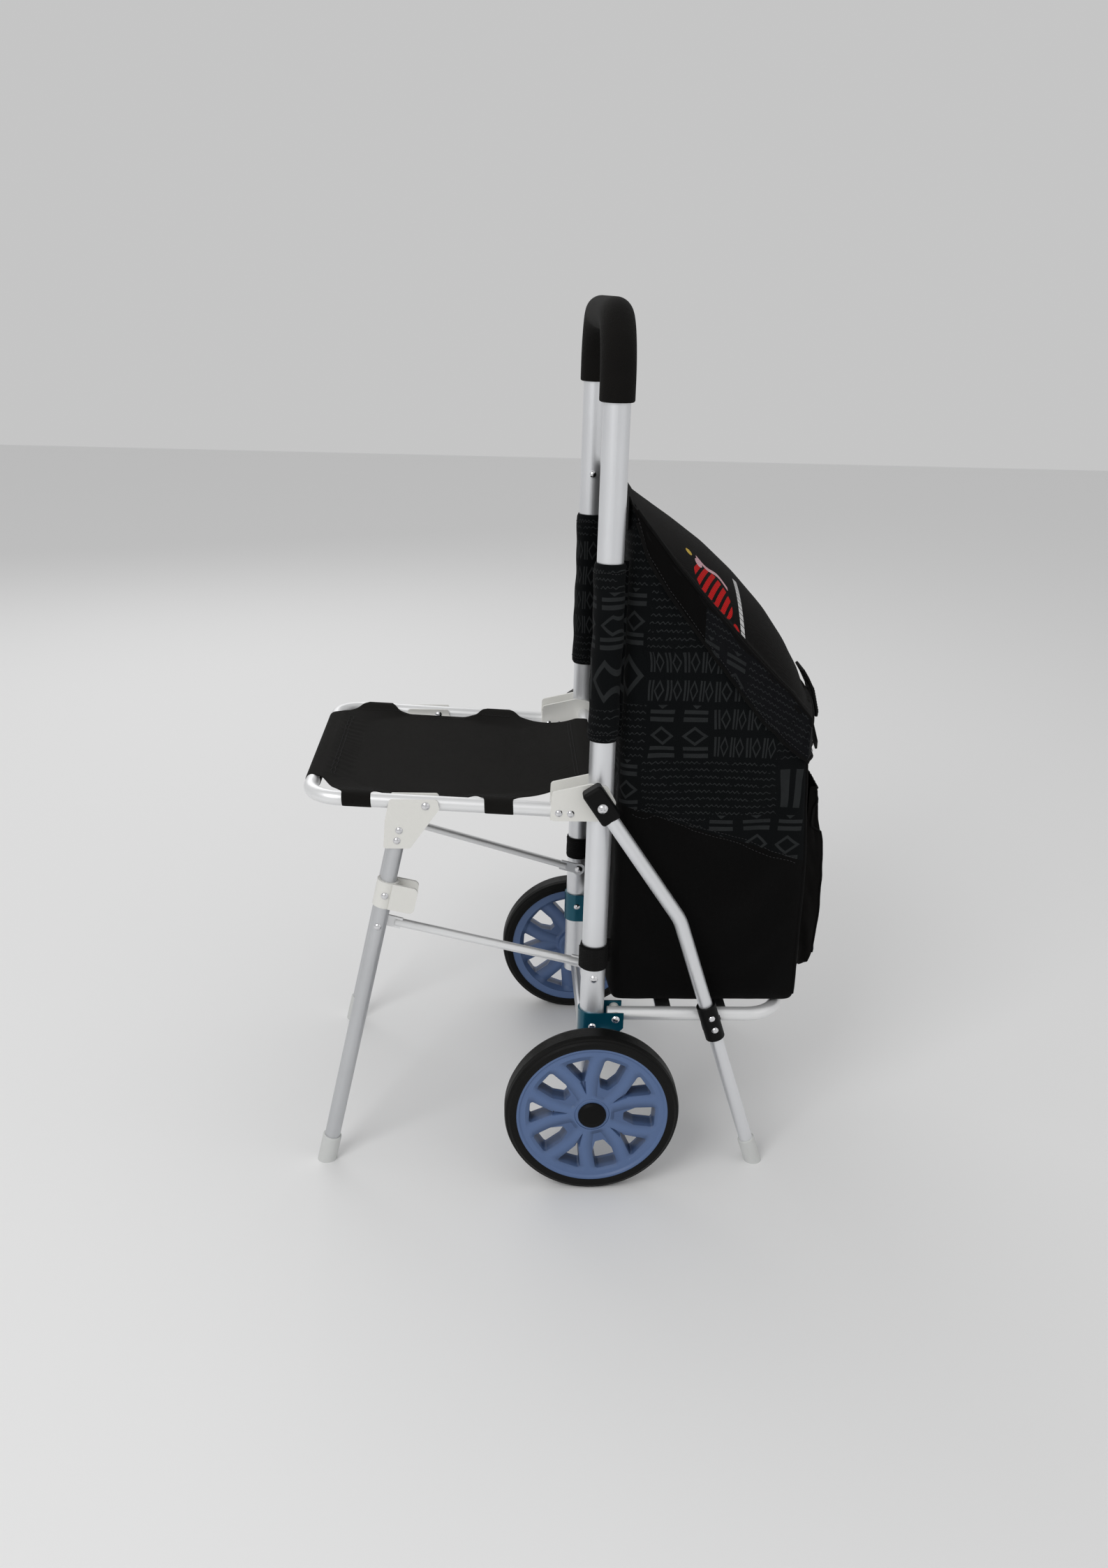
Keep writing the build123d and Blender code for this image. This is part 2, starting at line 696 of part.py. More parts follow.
def flap_strap():
    """Closing strap at the middle of the flap's front edge, with a pointed end."""
    outline = [(-19, 0), (19, 0), (19, -46), (0, -60), (-19, -46)]
    face = make_face(Polyline(*outline, close=True))
    lie = Plane(origin=(0, 259.5, 530), x_dir=(1, 0, 0), z_dir=(0, -1, -0.16))
    return extrude(lie * face, -2.5)


def tube_sleeve():
    """Fabric sleeve of the bag round a handle tube."""
    body = rod((tube_x, 0, sleeve_low), (tube_x, 0, sleeve_high), tube_radius + 2.7,
               tube_radius + gap)
    tab = block(tube_x - 13, tube_x - 9, 11, bag_back, sleeve_low, sleeve_high)
    return body + tab - rod((tube_x, 0, 500), (tube_x, 0, 740), tube_radius + gap)


def base_strap():
    """Hook-and-loop strap that ties the bag's foot to a handle tube."""
    body = rod((tube_x, 0, strap_low), (tube_x, 0, strap_high), tube_radius + 2.8,
               tube_radius + gap)
    tab = block(tube_x - 13, tube_x - 9, 11, bag_back, strap_low, strap_high)
    return body + tab - rod((tube_x, 0, 240), (tube_x, 0, 300), tube_radius + gap)


def main():
    os.makedirs("parts", exist_ok=True)
    write("handle_tube", handle_tube())
    write("handle_grip", grip())
    write("bag_studs", pair(bag_stud()))
    write("axle", axle())
    write("axle_spacers", pair(axle_spacer()))
    write("axle_nuts", pair(axle_nut()))
    write_sides("tyre", tyre())
    write_sides("wheel_rim", rim())
    write_sides("wheel_bush", wheel_bush())
    write_sides("hub_cap", hub_cap())
    write_sides("frame_bracket", frame_bracket())
    write("frame_bracket_rivets", pair(frame_rivets()))
    write("platform_spacers", pair(platform_spacer()))
    write("platform_tube", platform())
    write("platform_bars", platform_bars())
    write_sides("rear_leg", rear_leg())
    write("rear_leg_end_caps", pair(end_cap()))
    write("pivot_screws", pair(pivot_screw()))
    write("rear_leg_saddles", pair(leg_saddle()))
    write("saddle_rivets", pair(saddle_rivet()))
    write("rear_foot_caps", pair(foot_cap(stay_lower(0), stay_lower(100), stay_radius)))
    write("seat_tube", seat_tube())
    write("seat_cross_bar", cross_bar())
    write_sides("seat_bracket", seat_bracket())
    write("seat_bracket_rivets", pair(seat_bracket_rivets()))
    write("seat_sling", seat_sling())
    write("leg_pivot_pins", pair(leg_pivot_pin()))
    write_sides("front_leg", front_leg())
    write_sides("leg_bracket", leg_bracket())
    write_sides("leg_bracket_rivets", leg_bracket_rivets())
    write_sides("leg_clip", leg_clip())
    write_sides("leg_clip_rivet", leg_clip_rivet())
    write_sides("leg_stud", leg_stud())
    front_cap = foot_cap((seat_x, *leg_at(0)), (seat_x, *leg_at(100)), leg_radius)
    write_sides("front_foot_cap", front_cap)
    write_sides("link", link())
    write_sides("link_leg_rivet", link_leg_rivet())
    write("link_tube_pins", pair(link_tube_pin()))
    write("bag_body", bag_body())
    write("bag_base_board", bag_base_board())
    write("bag_pocket", bag_pocket())
    write("tube_sleeves", pair(tube_sleeve()))
    write("base_straps", pair(base_strap()))
    write("bag_flap", bag_flap())
    write("flap_strap", flap_strap())


main()
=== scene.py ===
"""Looks of a two-wheeled shopping cart with a fold-down seat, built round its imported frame.

Lengths are metres. +Z is up, +X is the right hand of the person who pushes, +Y points to the bag.
"""
from math import cos, pi, radians, sin

import bpy
import numpy as np
from mathutils import Matrix, Quaternion, Vector
from mathutils.bvhtree import BVHTree


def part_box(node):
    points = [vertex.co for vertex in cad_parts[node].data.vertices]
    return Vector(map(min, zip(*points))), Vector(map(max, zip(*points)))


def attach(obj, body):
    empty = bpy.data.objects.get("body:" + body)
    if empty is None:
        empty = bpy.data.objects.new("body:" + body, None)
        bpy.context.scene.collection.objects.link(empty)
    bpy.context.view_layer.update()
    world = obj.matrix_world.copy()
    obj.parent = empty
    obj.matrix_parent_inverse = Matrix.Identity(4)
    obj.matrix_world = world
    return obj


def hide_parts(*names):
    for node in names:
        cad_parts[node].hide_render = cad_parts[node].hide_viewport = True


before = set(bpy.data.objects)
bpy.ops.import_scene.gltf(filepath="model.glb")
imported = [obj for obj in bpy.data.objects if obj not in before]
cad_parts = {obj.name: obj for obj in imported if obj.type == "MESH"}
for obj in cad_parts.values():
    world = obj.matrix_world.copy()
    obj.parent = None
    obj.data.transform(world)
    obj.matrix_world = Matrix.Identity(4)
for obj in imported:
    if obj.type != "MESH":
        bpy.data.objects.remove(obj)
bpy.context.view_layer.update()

# Both handle tubes stand in one plane, straight above the axle. Every length along the cart is
# measured from that plane, so the axle's own box gives where it is.
axle_low, axle_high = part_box("axle")
tubes_y = (axle_low.y + axle_high.y) / 2


# ---- camera, floor and light ----
# The cart is seen from its right side, level with its handle and a little behind it. A large
# softbox lights it from the camera's side, with a weak one to fill and one from the far side.
yaw, pitch, roll = radians(2.793), radians(20.164), radians(1.684)
look = Vector((-cos(yaw) * cos(pitch), sin(yaw) * cos(pitch), -sin(pitch)))
bpy.ops.object.camera_add(location=(1.5351, tubes_y - 0.1184, 0.9832))
camera = bpy.context.object
camera.rotation_mode = "QUATERNION"
camera.rotation_quaternion = look.to_track_quat("-Z", "Y") @ Quaternion((0, 0, 1), roll)
camera.data.lens = 30.95
camera.data.sensor_width = 36
bpy.context.scene.camera = camera

world = bpy.data.worlds.new("studio")
world.use_nodes = True
sky = world.node_tree.nodes["Background"].inputs
sky["Color"].default_value = (1, 1, 1, 1)
sky["Strength"].default_value = 0.56
bpy.context.scene.world = world
bpy.context.scene.view_settings.view_transform = "Standard"


def softbox(name, place, target, width, power):
    """Square area light that faces a target."""
    bpy.ops.object.light_add(type="AREA", location=place)
    lamp = bpy.context.object
    lamp.name = name
    lamp.data.size = width
    lamp.data.energy = power
    lamp.rotation_mode = "QUATERNION"
    lamp.rotation_quaternion = (Vector(target) - Vector(place)).to_track_quat("-Z", "Y")


softbox("key_light", (2.4, -1.5, 2.6), (0, 0, 0.5), 1.5, 40)
softbox("fill_light", (1.8, 2.4, 1.6), (0, 0.1, 0.5), 2.2, 4)
softbox("back_light", (-2.4, -1.0, 2.2), (0, 0, 0.5), 2.0, 16)


# ---- floor ----
# A plain pale sheet that the cart stands on. Its finish, like every one below, is a procedural
# material: what varies over a surface is written as an expression on fields.
class Field:
    """One output of a shader node. Arithmetic on it adds Math nodes to its finish."""

    def __init__(self, finish, socket):
        self.finish = finish
        self.socket = socket

    def math(self, operation, *values, **settings):
        return self.finish.node("ShaderNodeMath", {"operation": operation, **settings}, values)

    def __add__(self, other):
        return self.math("ADD", self, other)

    def __sub__(self, other):
        return self.math("SUBTRACT", self, other)

    def __rsub__(self, other):
        return self.math("SUBTRACT", other, self)

    def __mul__(self, other):
        return self.math("MULTIPLY", self, other)

    def __truediv__(self, other):
        return self.math("DIVIDE", self, other)

    def __gt__(self, other):
        return self.math("GREATER_THAN", self, other)

    def __lt__(self, other):
        return self.math("LESS_THAN", self, other)

    def __abs__(self):
        return self.math("ABSOLUTE", self)

    __radd__ = __add__
    __rmul__ = __mul__

    def sine(self):
        return self.math("SINE", self)

    def floor(self):
        return self.math("FLOOR", self)

    def part(self):
        """What is left above the whole number below it."""
        return self.math("FRACT", self)

    def most(self, other):
        return self.math("MAXIMUM", self, other)

    def clamp(self):
        return self.math("ADD", self, 0.0, use_clamp=True)

    def between(self, low, high):
        return (self > low) * (self < high)


class Finish:
    """A material, with its Object coordinates x, y and z at hand."""

    def __init__(self, name, colour, roughness, **constants):
        self.material = bpy.data.materials.new(name)
        self.material.use_nodes = True
        self.tree = self.material.node_tree
        self.shader = self.tree.nodes["Principled BSDF"]
        self.colour = (*colour, 1)
        self.set("Base Color", self.colour)
        self.set("Roughness", roughness)
        for socket, value in constants.items():
            self.set(socket.replace("_", " "), value)
        self.place = self.node("ShaderNodeTexCoord", output="Object")
        self.x, self.y, self.z = (self.node("ShaderNodeSeparateXYZ", {}, [self.place], axis)
                                  for axis in "XYZ")

    def put(self, socket, value):
        if isinstance(value, Field):
            self.tree.links.new(value.socket, socket)
        else:
            socket.default_value = value

    def set(self, name, value):
        self.put(self.shader.inputs[name], value)

    def node(self, kind, settings=None, inputs=(), output=0):
        """Adds a node. Its inputs are a list in order, or a dict of names."""
        made = self.tree.nodes.new(kind)
        for name, value in (settings or {}).items():
            setattr(made, name, value)
        named = inputs.items() if isinstance(inputs, dict) else enumerate(inputs)
        for name, value in named:
            self.put(made.inputs[name], value)
        return Field(self, made.outputs[output])

    def noise(self, scale, detail=2.0, stretch=(1, 1, 1), roughness=0.5):
        """Cloudy field from 0 to 1, with its grain drawn out where stretch is small."""
        place = self.node("ShaderNodeMapping", {}, {"Vector": self.place, "Scale": stretch})
        values = {"Vector": place, "Scale": scale, "Detail": detail, "Roughness": roughness}
        return self.node("ShaderNodeTexNoise", {}, values, "Fac")

    def mix(self, share, first, second):
        """Colour that runs from the first to the second as share goes from 0 to 1."""
        first, second = (c if isinstance(c, Field) else (*c[:3], 1) for c in (first, second))
        settings = {"data_type": "RGBA"}
        return self.node("ShaderNodeMix", settings, {0: share, 6: first, 7: second}, 2)

    def shade(self, share, colour):
        """Mixes the base colour towards another one."""
        self.colour = self.mix(share, self.colour, colour)
        self.set("Base Color", self.colour)

    def bump(self, height, distance, strength=1.0):
        values = {"Height": height, "Distance": distance, "Strength": strength}
        self.set("Normal", self.node("ShaderNodeBump", {}, values, "Normal"))


def dress(finish, *nodes):
    """Gives a CAD node's object its finish."""
    for name in nodes:
        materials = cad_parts[name].data.materials
        materials.clear()
        materials.append(finish.material)


def sides(*names):
    """The right-hand and left-hand node of each name."""
    return [f"{name}_{side}" for name in names for side in ("right", "left")]


def tube_finish(name, colour, roughness, metallic, grain):
    """Drawn metal tube: a faint grain along it, and cloudy handling marks."""
    finish = Finish(name, colour, roughness, Metallic=metallic, Coat_Roughness=0.3)
    lines = finish.noise(420, 3, grain)
    marks = finish.noise(9, 5)
    dark = tuple(0.8 * c for c in colour)
    finish.shade((marks - 0.42) * 0.9, dark)
    finish.set("Roughness", roughness - 0.07 + lines * 0.1 + marks * 0.09)
    finish.bump(lines, 0.00012)
    return finish


def moulded_finish(name, colour, roughness, shine=0.45, worn=(0.5, 0.5, 0.5)):
    """Moulded plastic: a fine pebble, a cloudy sheen and pale rubbed specks."""
    finish = Finish(name, colour, roughness, Specular_IOR_Level=shine)
    pebbles = finish.noise(900, 2)
    clouds = finish.noise(14, 4)
    rubbed = ((finish.noise(55, 6, roughness=0.7) - 0.66) * 6).clamp()
    finish.shade(rubbed * 0.25, worn)
    finish.set("Roughness", roughness - 0.06 + clouds * 0.14)
    finish.bump(pebbles, 0.00015)
    return finish


bpy.ops.mesh.primitive_plane_add(size=14)
floor = bpy.context.object
floor.name = "floor"
floor_paint = Finish("floor_paint", (0.86, 0.86, 0.86), 0.7)
floor_paint.set("Roughness", 0.62 + floor_paint.noise(3) * 0.1)
floor.data.materials.append(floor_paint.material)


# ---- handle frame ----
# One aluminium tube bent to an upside-down U, 28 mm across, satin anodised. It runs from the
# axle up to the handle and down again. Two bright studs hold the top of the bag to it.
satin_tube = tube_finish("satin_tube", (0.80, 0.81, 0.83), 0.40, 0.85, (1, 1, 0.02))
dress(satin_tube, "handle_tube")
bright = Finish("bright_rivet", (0.78, 0.78, 0.80), 0.16, Metallic=1.0)
bright.set("Roughness", 0.12 + bright.noise(260, 3) * 0.14)
bright.shade(bright.noise(120, 3) * 0.22, (0.5, 0.5, 0.5))
dress(bright, "bag_studs")


# ---- grip ----
# Black closed-cell foam sleeve over the bend of the handle. Its skin is dull and finely pored,
# with a paler bloom where hands have polished it.
foam = Finish("grip_foam", (0.0042, 0.0039, 0.0036), 0.88, Sheen_Weight=0.015, Specular_IOR_Level=0.08)
pores = foam.node("ShaderNodeTexVoronoi", {}, {"Vector": foam.place, "Scale": 850.0}, "Distance")
foam.shade(foam.noise(30, 4) * 0.5, (0.012, 0.011, 0.010))
foam.set("Roughness", 0.78 + foam.noise(24, 3) * 0.16)
foam.bump(pores + foam.noise(160, 4) * 1.5, 0.0006, 0.7)
dress(foam, "handle_grip")


# ---- axle and wheels ----
# Two 200 mm wheels on a steel axle: black rubber tyres on moulded slate-blue rims, with black
# bushes and domed hub caps. Dust sits in the tyres' grain, and the rims are lightly scuffed.
rubber = Finish("tyre_rubber", (0.0040, 0.0040, 0.0038), 0.66, Specular_IOR_Level=0.14)
dust = ((rubber.noise(38, 6, roughness=0.65) - 0.46) * 2.6).clamp()
rubber.shade(dust * 0.3, (0.018, 0.017, 0.016))
rubber.set("Roughness", 0.48 + dust * 0.3)
rubber.bump(rubber.noise(700, 3), 0.0003)
dress(rubber, *sides("tyre"))

rim_blue = Finish("rim_blue", (0.088, 0.146, 0.292), 0.42, IOR=1.46)
ahead, above = rim_blue.y - tubes_y, rim_blue.z - (axle_low.z + axle_high.z) / 2
outward = abs(rim_blue.x)
reach = ahead.math("SQRT", ahead * ahead + above * above)
turned = above.math("ARCTAN2", above, ahead) * (180 / pi)
# Five large windows stand first_window degrees round and then one window_step apart. A soft ridge
# runs out along each side of them, and both faces of the rim fall away from it into hollows.
first_window, window_step = 69.5, 72
from_window = abs(((turned - first_window) / window_step + 5.5).part() - 0.5) * window_step
ridge = 17 + (0.0735 - reach) * 286
off_ridge = abs(from_window - ridge) * (pi / 180) * reach / 0.0095
spoked = ((0.0765 - reach) / 0.006).clamp() * ((reach - 0.0215) / 0.004).clamp()
rim_inside, rim_outside = 0.2062, 0.2215
on_face = (outward > rim_outside) + (outward < rim_inside)
hollow = (off_ridge * off_ridge).clamp() * spoked * on_face
# Painted shade: the hollows are darkened towards a deeper blue, where shade would fall in them.
rim_blue.shade(hollow * 0.45, (0.045, 0.080, 0.175))
# Painted shade: the walls inside the windows are darkened towards a deep blue, most of all between the
# rim's two faces.
window_wall_shade = ((outward - 0.2056) / 0.004).clamp() * ((0.2243 - outward) / 0.008).clamp()
rim_blue.shade(window_wall_shade * 0.7, (0.016, 0.030, 0.070))
rim_blue.shade(((rim_blue.noise(22, 5) - 0.4) * 1.4).clamp() * 0.35, (0.12, 0.19, 0.35))
on_band = reach > 0.070
scuffs = ((rim_blue.noise(140, 6, roughness=0.75) - 0.62) * 5).clamp()
rim_blue.shade(scuffs * on_band * 0.35, (0.3, 0.36, 0.5))
rim_blue.set("Roughness", 0.36 + rim_blue.noise(40, 4) * 0.18)
rim_blue.bump(rim_blue.noise(800, 2) * 0.04 - hollow, 0.0036)
dress(rim_blue, *sides("wheel_rim"))

black_plastic = moulded_finish("black_plastic", (0.0032, 0.0032, 0.0032), 0.5, 0.12, (0.03, 0.03, 0.03))
dress(black_plastic, *sides("wheel_bush", "hub_cap"), "axle_spacers")
zinc = Finish("zinc_steel", (0.60, 0.61, 0.63), 0.34, Metallic=1.0)
zinc.shade(zinc.noise(70, 4) * 0.4, (0.48, 0.47, 0.44))
zinc.set("Roughness", 0.26 + zinc.noise(180, 4) * 0.2)
dress(zinc, "axle", "axle_nuts")


# ---- tube-foot brackets and platform ----
# A teal lacquered channel of sheet metal wraps the foot of each handle tube and carries the
# platform, a U of thin tube with two flat bars across it that holds the bag.
teal = Finish("teal_metal", (0.0, 0.080, 0.130), 0.34, Metallic=0.55, Coat_Weight=0.4,
              Coat_Roughness=0.15)
teal.shade(teal.noise(45, 4) * 0.4, (0.0, 0.15, 0.21))
teal.set("Roughness", 0.24 + teal.noise(300, 3) * 0.14)
teal.bump(teal.noise(500, 2), 0.0001)
dress(teal, *sides("frame_bracket"))
dress(bright, "frame_bracket_rivets")
white_plastic = moulded_finish("white_plastic", (0.74, 0.735, 0.70), 0.42, worn=(0.5, 0.49, 0.45))
dress(white_plastic, "platform_spacers")
drawn_along_y = tube_finish("white_silver_tube", (0.84, 0.845, 0.85), 0.36, 0.55, (1, 0.02, 1))
dress(drawn_along_y, "platform_tube")
dress(zinc, "platform_bars")


# ---- rear legs ----
# Each is one bent tube from the seat pivot to the ground, held by a cross-headed screw through
# its black end cap and by a black saddle that is riveted where the platform passes.
dress(satin_tube, *sides("rear_leg"))
dress(black_plastic, "rear_leg_end_caps", "rear_leg_saddles")
dress(bright, "pivot_screws", "saddle_rivets")
grey_plastic = moulded_finish("grey_plastic", (0.60, 0.61, 0.60), 0.5, worn=(0.4, 0.4, 0.39))
dress(grey_plastic, "rear_foot_caps")


# ---- seat frame ----
# A U of white-silver tube under the cloth, held by two white plastic clevises on the pivot
# screws. The rear of the cloth hangs on a fixed bar between the handle tubes.
dress(drawn_along_y, "seat_tube")
drawn_along_x = tube_finish("cross_bar_tube", (0.84, 0.845, 0.85), 0.36, 0.55, (0.02, 1, 1))
dress(drawn_along_x, "seat_cross_bar")
dress(white_plastic, *sides("seat_bracket"))
dress(bright, "seat_bracket_rivets", "leg_pivot_pins")


# ---- front legs and links ----
# Satin tubes in white plastic channels that turn on pins in the seat rails. Each has a sprung
# clip and a flat-ended link to the handle tube, and stands on a grey cap.
# Painted shade: the front legs take a darker copy of the satin tube finish, for the shadow that the seat
# casts on them.
dress(tube_finish("front_leg_tube_shaded", (0.60, 0.61, 0.625), 0.40, 0.85, (1, 1, 0.02)), *sides("front_leg"))
dress(drawn_along_y, *sides("link"))
dress(white_plastic, *sides("leg_bracket", "leg_clip"))
dress(bright, *sides("leg_bracket_rivets", "leg_clip_rivet", "leg_stud", "link_leg_rivet"),
      "link_tube_pins")
dress(grey_plastic, *sides("front_foot_cap"))


# ---- seat cloth ----
# One sheet of black woven polyester. Its front and rear ends are sewn into loops round the
# front bar and the cross bar, and four side tabs wrap the rails. Rows of black thread close the
# loops and run beside the tabs.
def weave_finish(name, colour, pitch, paler, **constants):
    """Plain-woven cloth: threads that pass over and under, slubs, pale clouds and soft creases."""
    finish = Finish(name, colour, 0.88, Sheen_Weight=0.015, Specular_IOR_Level=0.06, **constants)
    turns = 2 * pi / pitch
    across = finish.x + finish.y * 0.9
    down = finish.z + finish.y * 0.35
    slack = finish.noise(60, 3) * 0.6
    warp = (across * turns + slack).sine()
    weft = (down * turns + slack).sine()
    threads = warp * weft
    slubs = finish.noise(500, 3, (1, 1, 0.1))
    finish.shade(((threads + 1.0) * 0.14 + (slubs - 0.4) * 0.5).clamp(), paler)
    finish.shade(((finish.noise(17, 5) - 0.45) * 1.6).clamp() * 0.35, paler)
    finish.set("Roughness", 0.74 + slubs * 0.16)
    finish.threads = threads * 0.5 + finish.noise(90, 4) * 1.6
    finish.bump(finish.threads, pitch * 0.35, 0.8)
    return finish


def deselect():
    bpy.ops.object.select_all(action="DESELECT")


def only(piece):
    """Makes a piece the one selected, active object."""
    deselect()
    piece.select_set(True)
    bpy.context.view_layer.objects.active = piece


def grid(name, columns, rows, low, high):
    """Flat mesh grid over a rectangle of the X and Y plane, for a shape worked out later."""
    deselect()
    bpy.ops.mesh.primitive_grid_add(x_subdivisions=columns, y_subdivisions=rows, size=1)
    piece = bpy.context.object
    piece.name = piece.data.name = name
    piece.data.transform(Matrix.Translation(Vector((*low, 0)))
                         @ Matrix.Diagonal((high[0] - low[0], high[1] - low[1], 1, 1))
                         @ Matrix.Translation((0.5, 0.5, 0)))
    return piece


def points_of(piece):
    """Places of a piece's vertices, as an array of rows."""
    found = np.empty(len(piece.data.vertices) * 3)
    piece.data.vertices.foreach_get("co", found)
    return found.reshape(-1, 3)


def move_points(piece, places):
    piece.data.vertices.foreach_set("co", np.asarray(places, float).ravel())
    piece.data.update()


def tidy_mesh(piece, within=0.00005):
    """Merges doubled points and turns every face the same way."""
    only(piece)
    bpy.ops.object.mode_set(mode="EDIT")
    bpy.ops.mesh.select_all(action="SELECT")
    bpy.ops.mesh.remove_doubles(threshold=within)
    bpy.ops.mesh.dissolve_degenerate(threshold=within)
    bpy.ops.mesh.normals_make_consistent(inside=False)
    bpy.ops.object.mode_set(mode="OBJECT")


def apply_modifier(piece, kind, **settings):
    """Adds one modifier and applies it."""
    only(piece)
    modifier = piece.modifiers.new(kind.lower(), kind)
    for name, value in settings.items():
        setattr(modifier, name, value)
    bpy.ops.object.modifier_apply(modifier=modifier.name)


def thicken(piece, thickness, offset=0.0, **settings):
    """Gives a sheet its wall."""
    apply_modifier(piece, "SOLIDIFY", thickness=thickness, offset=offset, **settings)


def divide(piece):
    """Splits every face in four, rounding the piece."""
    apply_modifier(piece, "SUBSURF", levels=1, render_levels=1)


def smooth(piece, angle=50):
    only(piece)
    bpy.ops.object.shade_smooth_by_angle(angle=radians(angle))


def settle(piece, hold, frames, slack, cap, gravity=1.0, pressure=0.0):
    """Lets a piece move as cloth. hold gives each point's grip from 0 to 1; slack is the share
    of spare cloth; no point ends further than cap from where it was cut."""
    cut = points_of(piece)
    grip = piece.vertex_groups.new(name="grip")
    for index, weight in enumerate(hold(cut)):
        grip.add([index], float(weight), "REPLACE")
    only(piece)
    cloth = piece.modifiers.new("cloth", "CLOTH")
    cloth.settings.quality = 6
    cloth.settings.mass = 0.25
    cloth.settings.tension_stiffness = cloth.settings.compression_stiffness = 12
    cloth.settings.shear_stiffness = 6
    cloth.settings.bending_stiffness = 0.35
    cloth.settings.shrink_min = -slack
    cloth.settings.vertex_group_mass = "grip"
    cloth.settings.use_pressure = pressure > 0
    cloth.settings.uniform_pressure_force = pressure
    cloth.settings.effector_weights.gravity = gravity
    cloth.collision_settings.use_collision = False
    for step in range(1, frames + 1):
        bpy.context.scene.frame_set(step)
    bpy.ops.object.modifier_apply(modifier="cloth")
    bpy.context.scene.frame_set(1)
    moved = points_of(piece) - cut
    far = np.linalg.norm(moved, axis=1, keepdims=True)
    move_points(piece, cut + moved * np.minimum(1, cap / np.maximum(far, 1e-9)))
    piece.vertex_groups.clear()


def steps(value, *stops):
    """Straight runs through (place, height) stops."""
    places, heights = zip(*stops)
    return np.interp(value, places, heights)


def pick(piece, kind, chosen):
    """Goes into edit mode with only the chosen faces or edges of a piece selected."""
    only(piece)
    bpy.ops.object.mode_set(mode="EDIT")
    bpy.ops.mesh.select_all(action="DESELECT")
    bpy.ops.mesh.select_mode(type=kind)
    bpy.ops.object.mode_set(mode="OBJECT")
    for item in piece.data.polygons if kind == "FACE" else piece.data.edges:
        item.select = bool(chosen(item))
    bpy.ops.object.mode_set(mode="EDIT")


def delete_faces(piece, chosen):
    pick(piece, "FACE", chosen)
    bpy.ops.mesh.delete(type="FACE")
    bpy.ops.object.mode_set(mode="OBJECT")


rail_low, rail_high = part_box("seat_tube")
rail_radius = 0.008
rail_x = (rail_high.x - rail_low.x) / 2 - rail_radius
pivot_z = 0.463
seat_rise = radians(2.57)
rail_drop = 0.015               # how far the rails hang below the pivot
seat_depth = 0.3175             # from the pivot to the front bar
wrap = radians(300)             # how far a loop or a tab goes round its tube
cloth_radius = rail_radius + 0.0009
tab_rows = ((0.247, 0.283), (0.092, 0.130))
tab_flare = 0.007               # how far the cloth takes to run out into a tab
seat_sag = 0.0035


def seat_place(x, out, up):
    """Place from X, the distance forward of the pivot, and the height over the rails' axes."""
    away = np.column_stack([x, -out * cos(seat_rise) - up * sin(seat_rise),
                            out * sin(seat_rise) + up * cos(seat_rise)])
    base = np.array([0, tubes_y - rail_drop * sin(seat_rise), pivot_z - rail_drop * cos(seat_rise)])
    return away + base


# The flat cut: t runs across from rail to rail and beyond it round the rail, and s runs from
# behind the cross bar, over it and forward, to beyond the front bar.
sling = grid("seat_cloth", 96, 110, (-1.25, -0.12), (1.25, 1.12))
t, s, _ = points_of(sling).T
forward = np.clip(s, 0, 1) * seat_depth
on_tab = np.zeros_like(t)
for near, far in tab_rows:
    on_tab = np.maximum(on_tab, steps(forward, (near - tab_flare, 0), (near, 1), (far, 1),
                                      (far + tab_flare, 0)))
half_width = steps(forward, (0, 0.101), (0.028, 0.112), (0.066, 0.136), (0.088, 0.152), (0.290, 0.152),
                   (0.303, 0.128), (seat_depth, 0.118))
half_width = half_width + on_tab * (rail_x - half_width)
rise = steps(forward, (0, rail_drop + cloth_radius), (0.085, cloth_radius + 0.0006),
             (seat_depth, cloth_radius))
round_rail = np.clip((np.abs(t) - 1) / 0.25, 0, 1) * wrap
x = np.sign(t) * (np.minimum(np.abs(t), 1) * half_width + cloth_radius * np.sin(round_rail))
up = np.where(np.abs(t) > 1, cloth_radius * np.cos(round_rail), rise)
past_front = np.clip((s - 1) / 0.12, 0, 1) * wrap
past_rear = np.clip(-s / 0.12, 0, 1) * wrap
out = forward + cloth_radius * (np.sin(past_front) - np.sin(past_rear))
up = np.where(s > 1, cloth_radius * np.cos(past_front), up)
up = np.where(s < 0, rail_drop + cloth_radius * np.cos(past_rear), up)
inner = (np.abs(t) < 0.999) & (s > 0) & (s < 1)
bed = np.clip(1 - t * t, 0, 1) * np.sin(pi * np.clip(s, 0, 1))
up = up - np.where(inner, seat_sag * bed, 0)
move_points(sling, seat_place(x, out, up))
off_cut = (np.abs(t) > 1.001) & ((on_tab < 0.999) | (s < 0) | (s > 1))
delete_faces(sling, lambda face: any(off_cut[v] for v in face.vertices))


def held_by_tubes(places):
    """Full grip where the cloth lies on a rail, the front bar or the cross bar."""
    ahead = tubes_y - places[:, 1]
    on_rail = np.abs(places[:, 0]) > rail_x - 0.010
    return np.where(on_rail | (ahead < 0.014) | (ahead > seat_depth - 0.014), 1, 0)


settle(sling, held_by_tubes, 24, 0.012, 0.009)
tidy_mesh(sling)
thicken(sling, 0.0014, -1.0)
divide(sling)
smooth(sling, 60)
seat_cloth = weave_finish("seat_cloth", (0.0068, 0.0064, 0.0058), 0.0012, (0.0170, 0.0160, 0.0145))
sling.data.materials.append(seat_cloth.material)
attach(sling, "seat")
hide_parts("seat_sling")


def laid_on(piece, points, lift):
    """The points moved to the nearest place on a piece, and lifted off it."""
    tree = BVHTree.FromPolygons([v.co for v in piece.data.vertices],
                                [f.vertices for f in piece.data.polygons])
    found = []
    for point in points:
        place, normal, _, _ = tree.find_nearest(Vector(point))
        outward = normal if normal.dot(Vector(point) - place) >= 0 else -normal
        found.append(place + outward * lift)
    return found


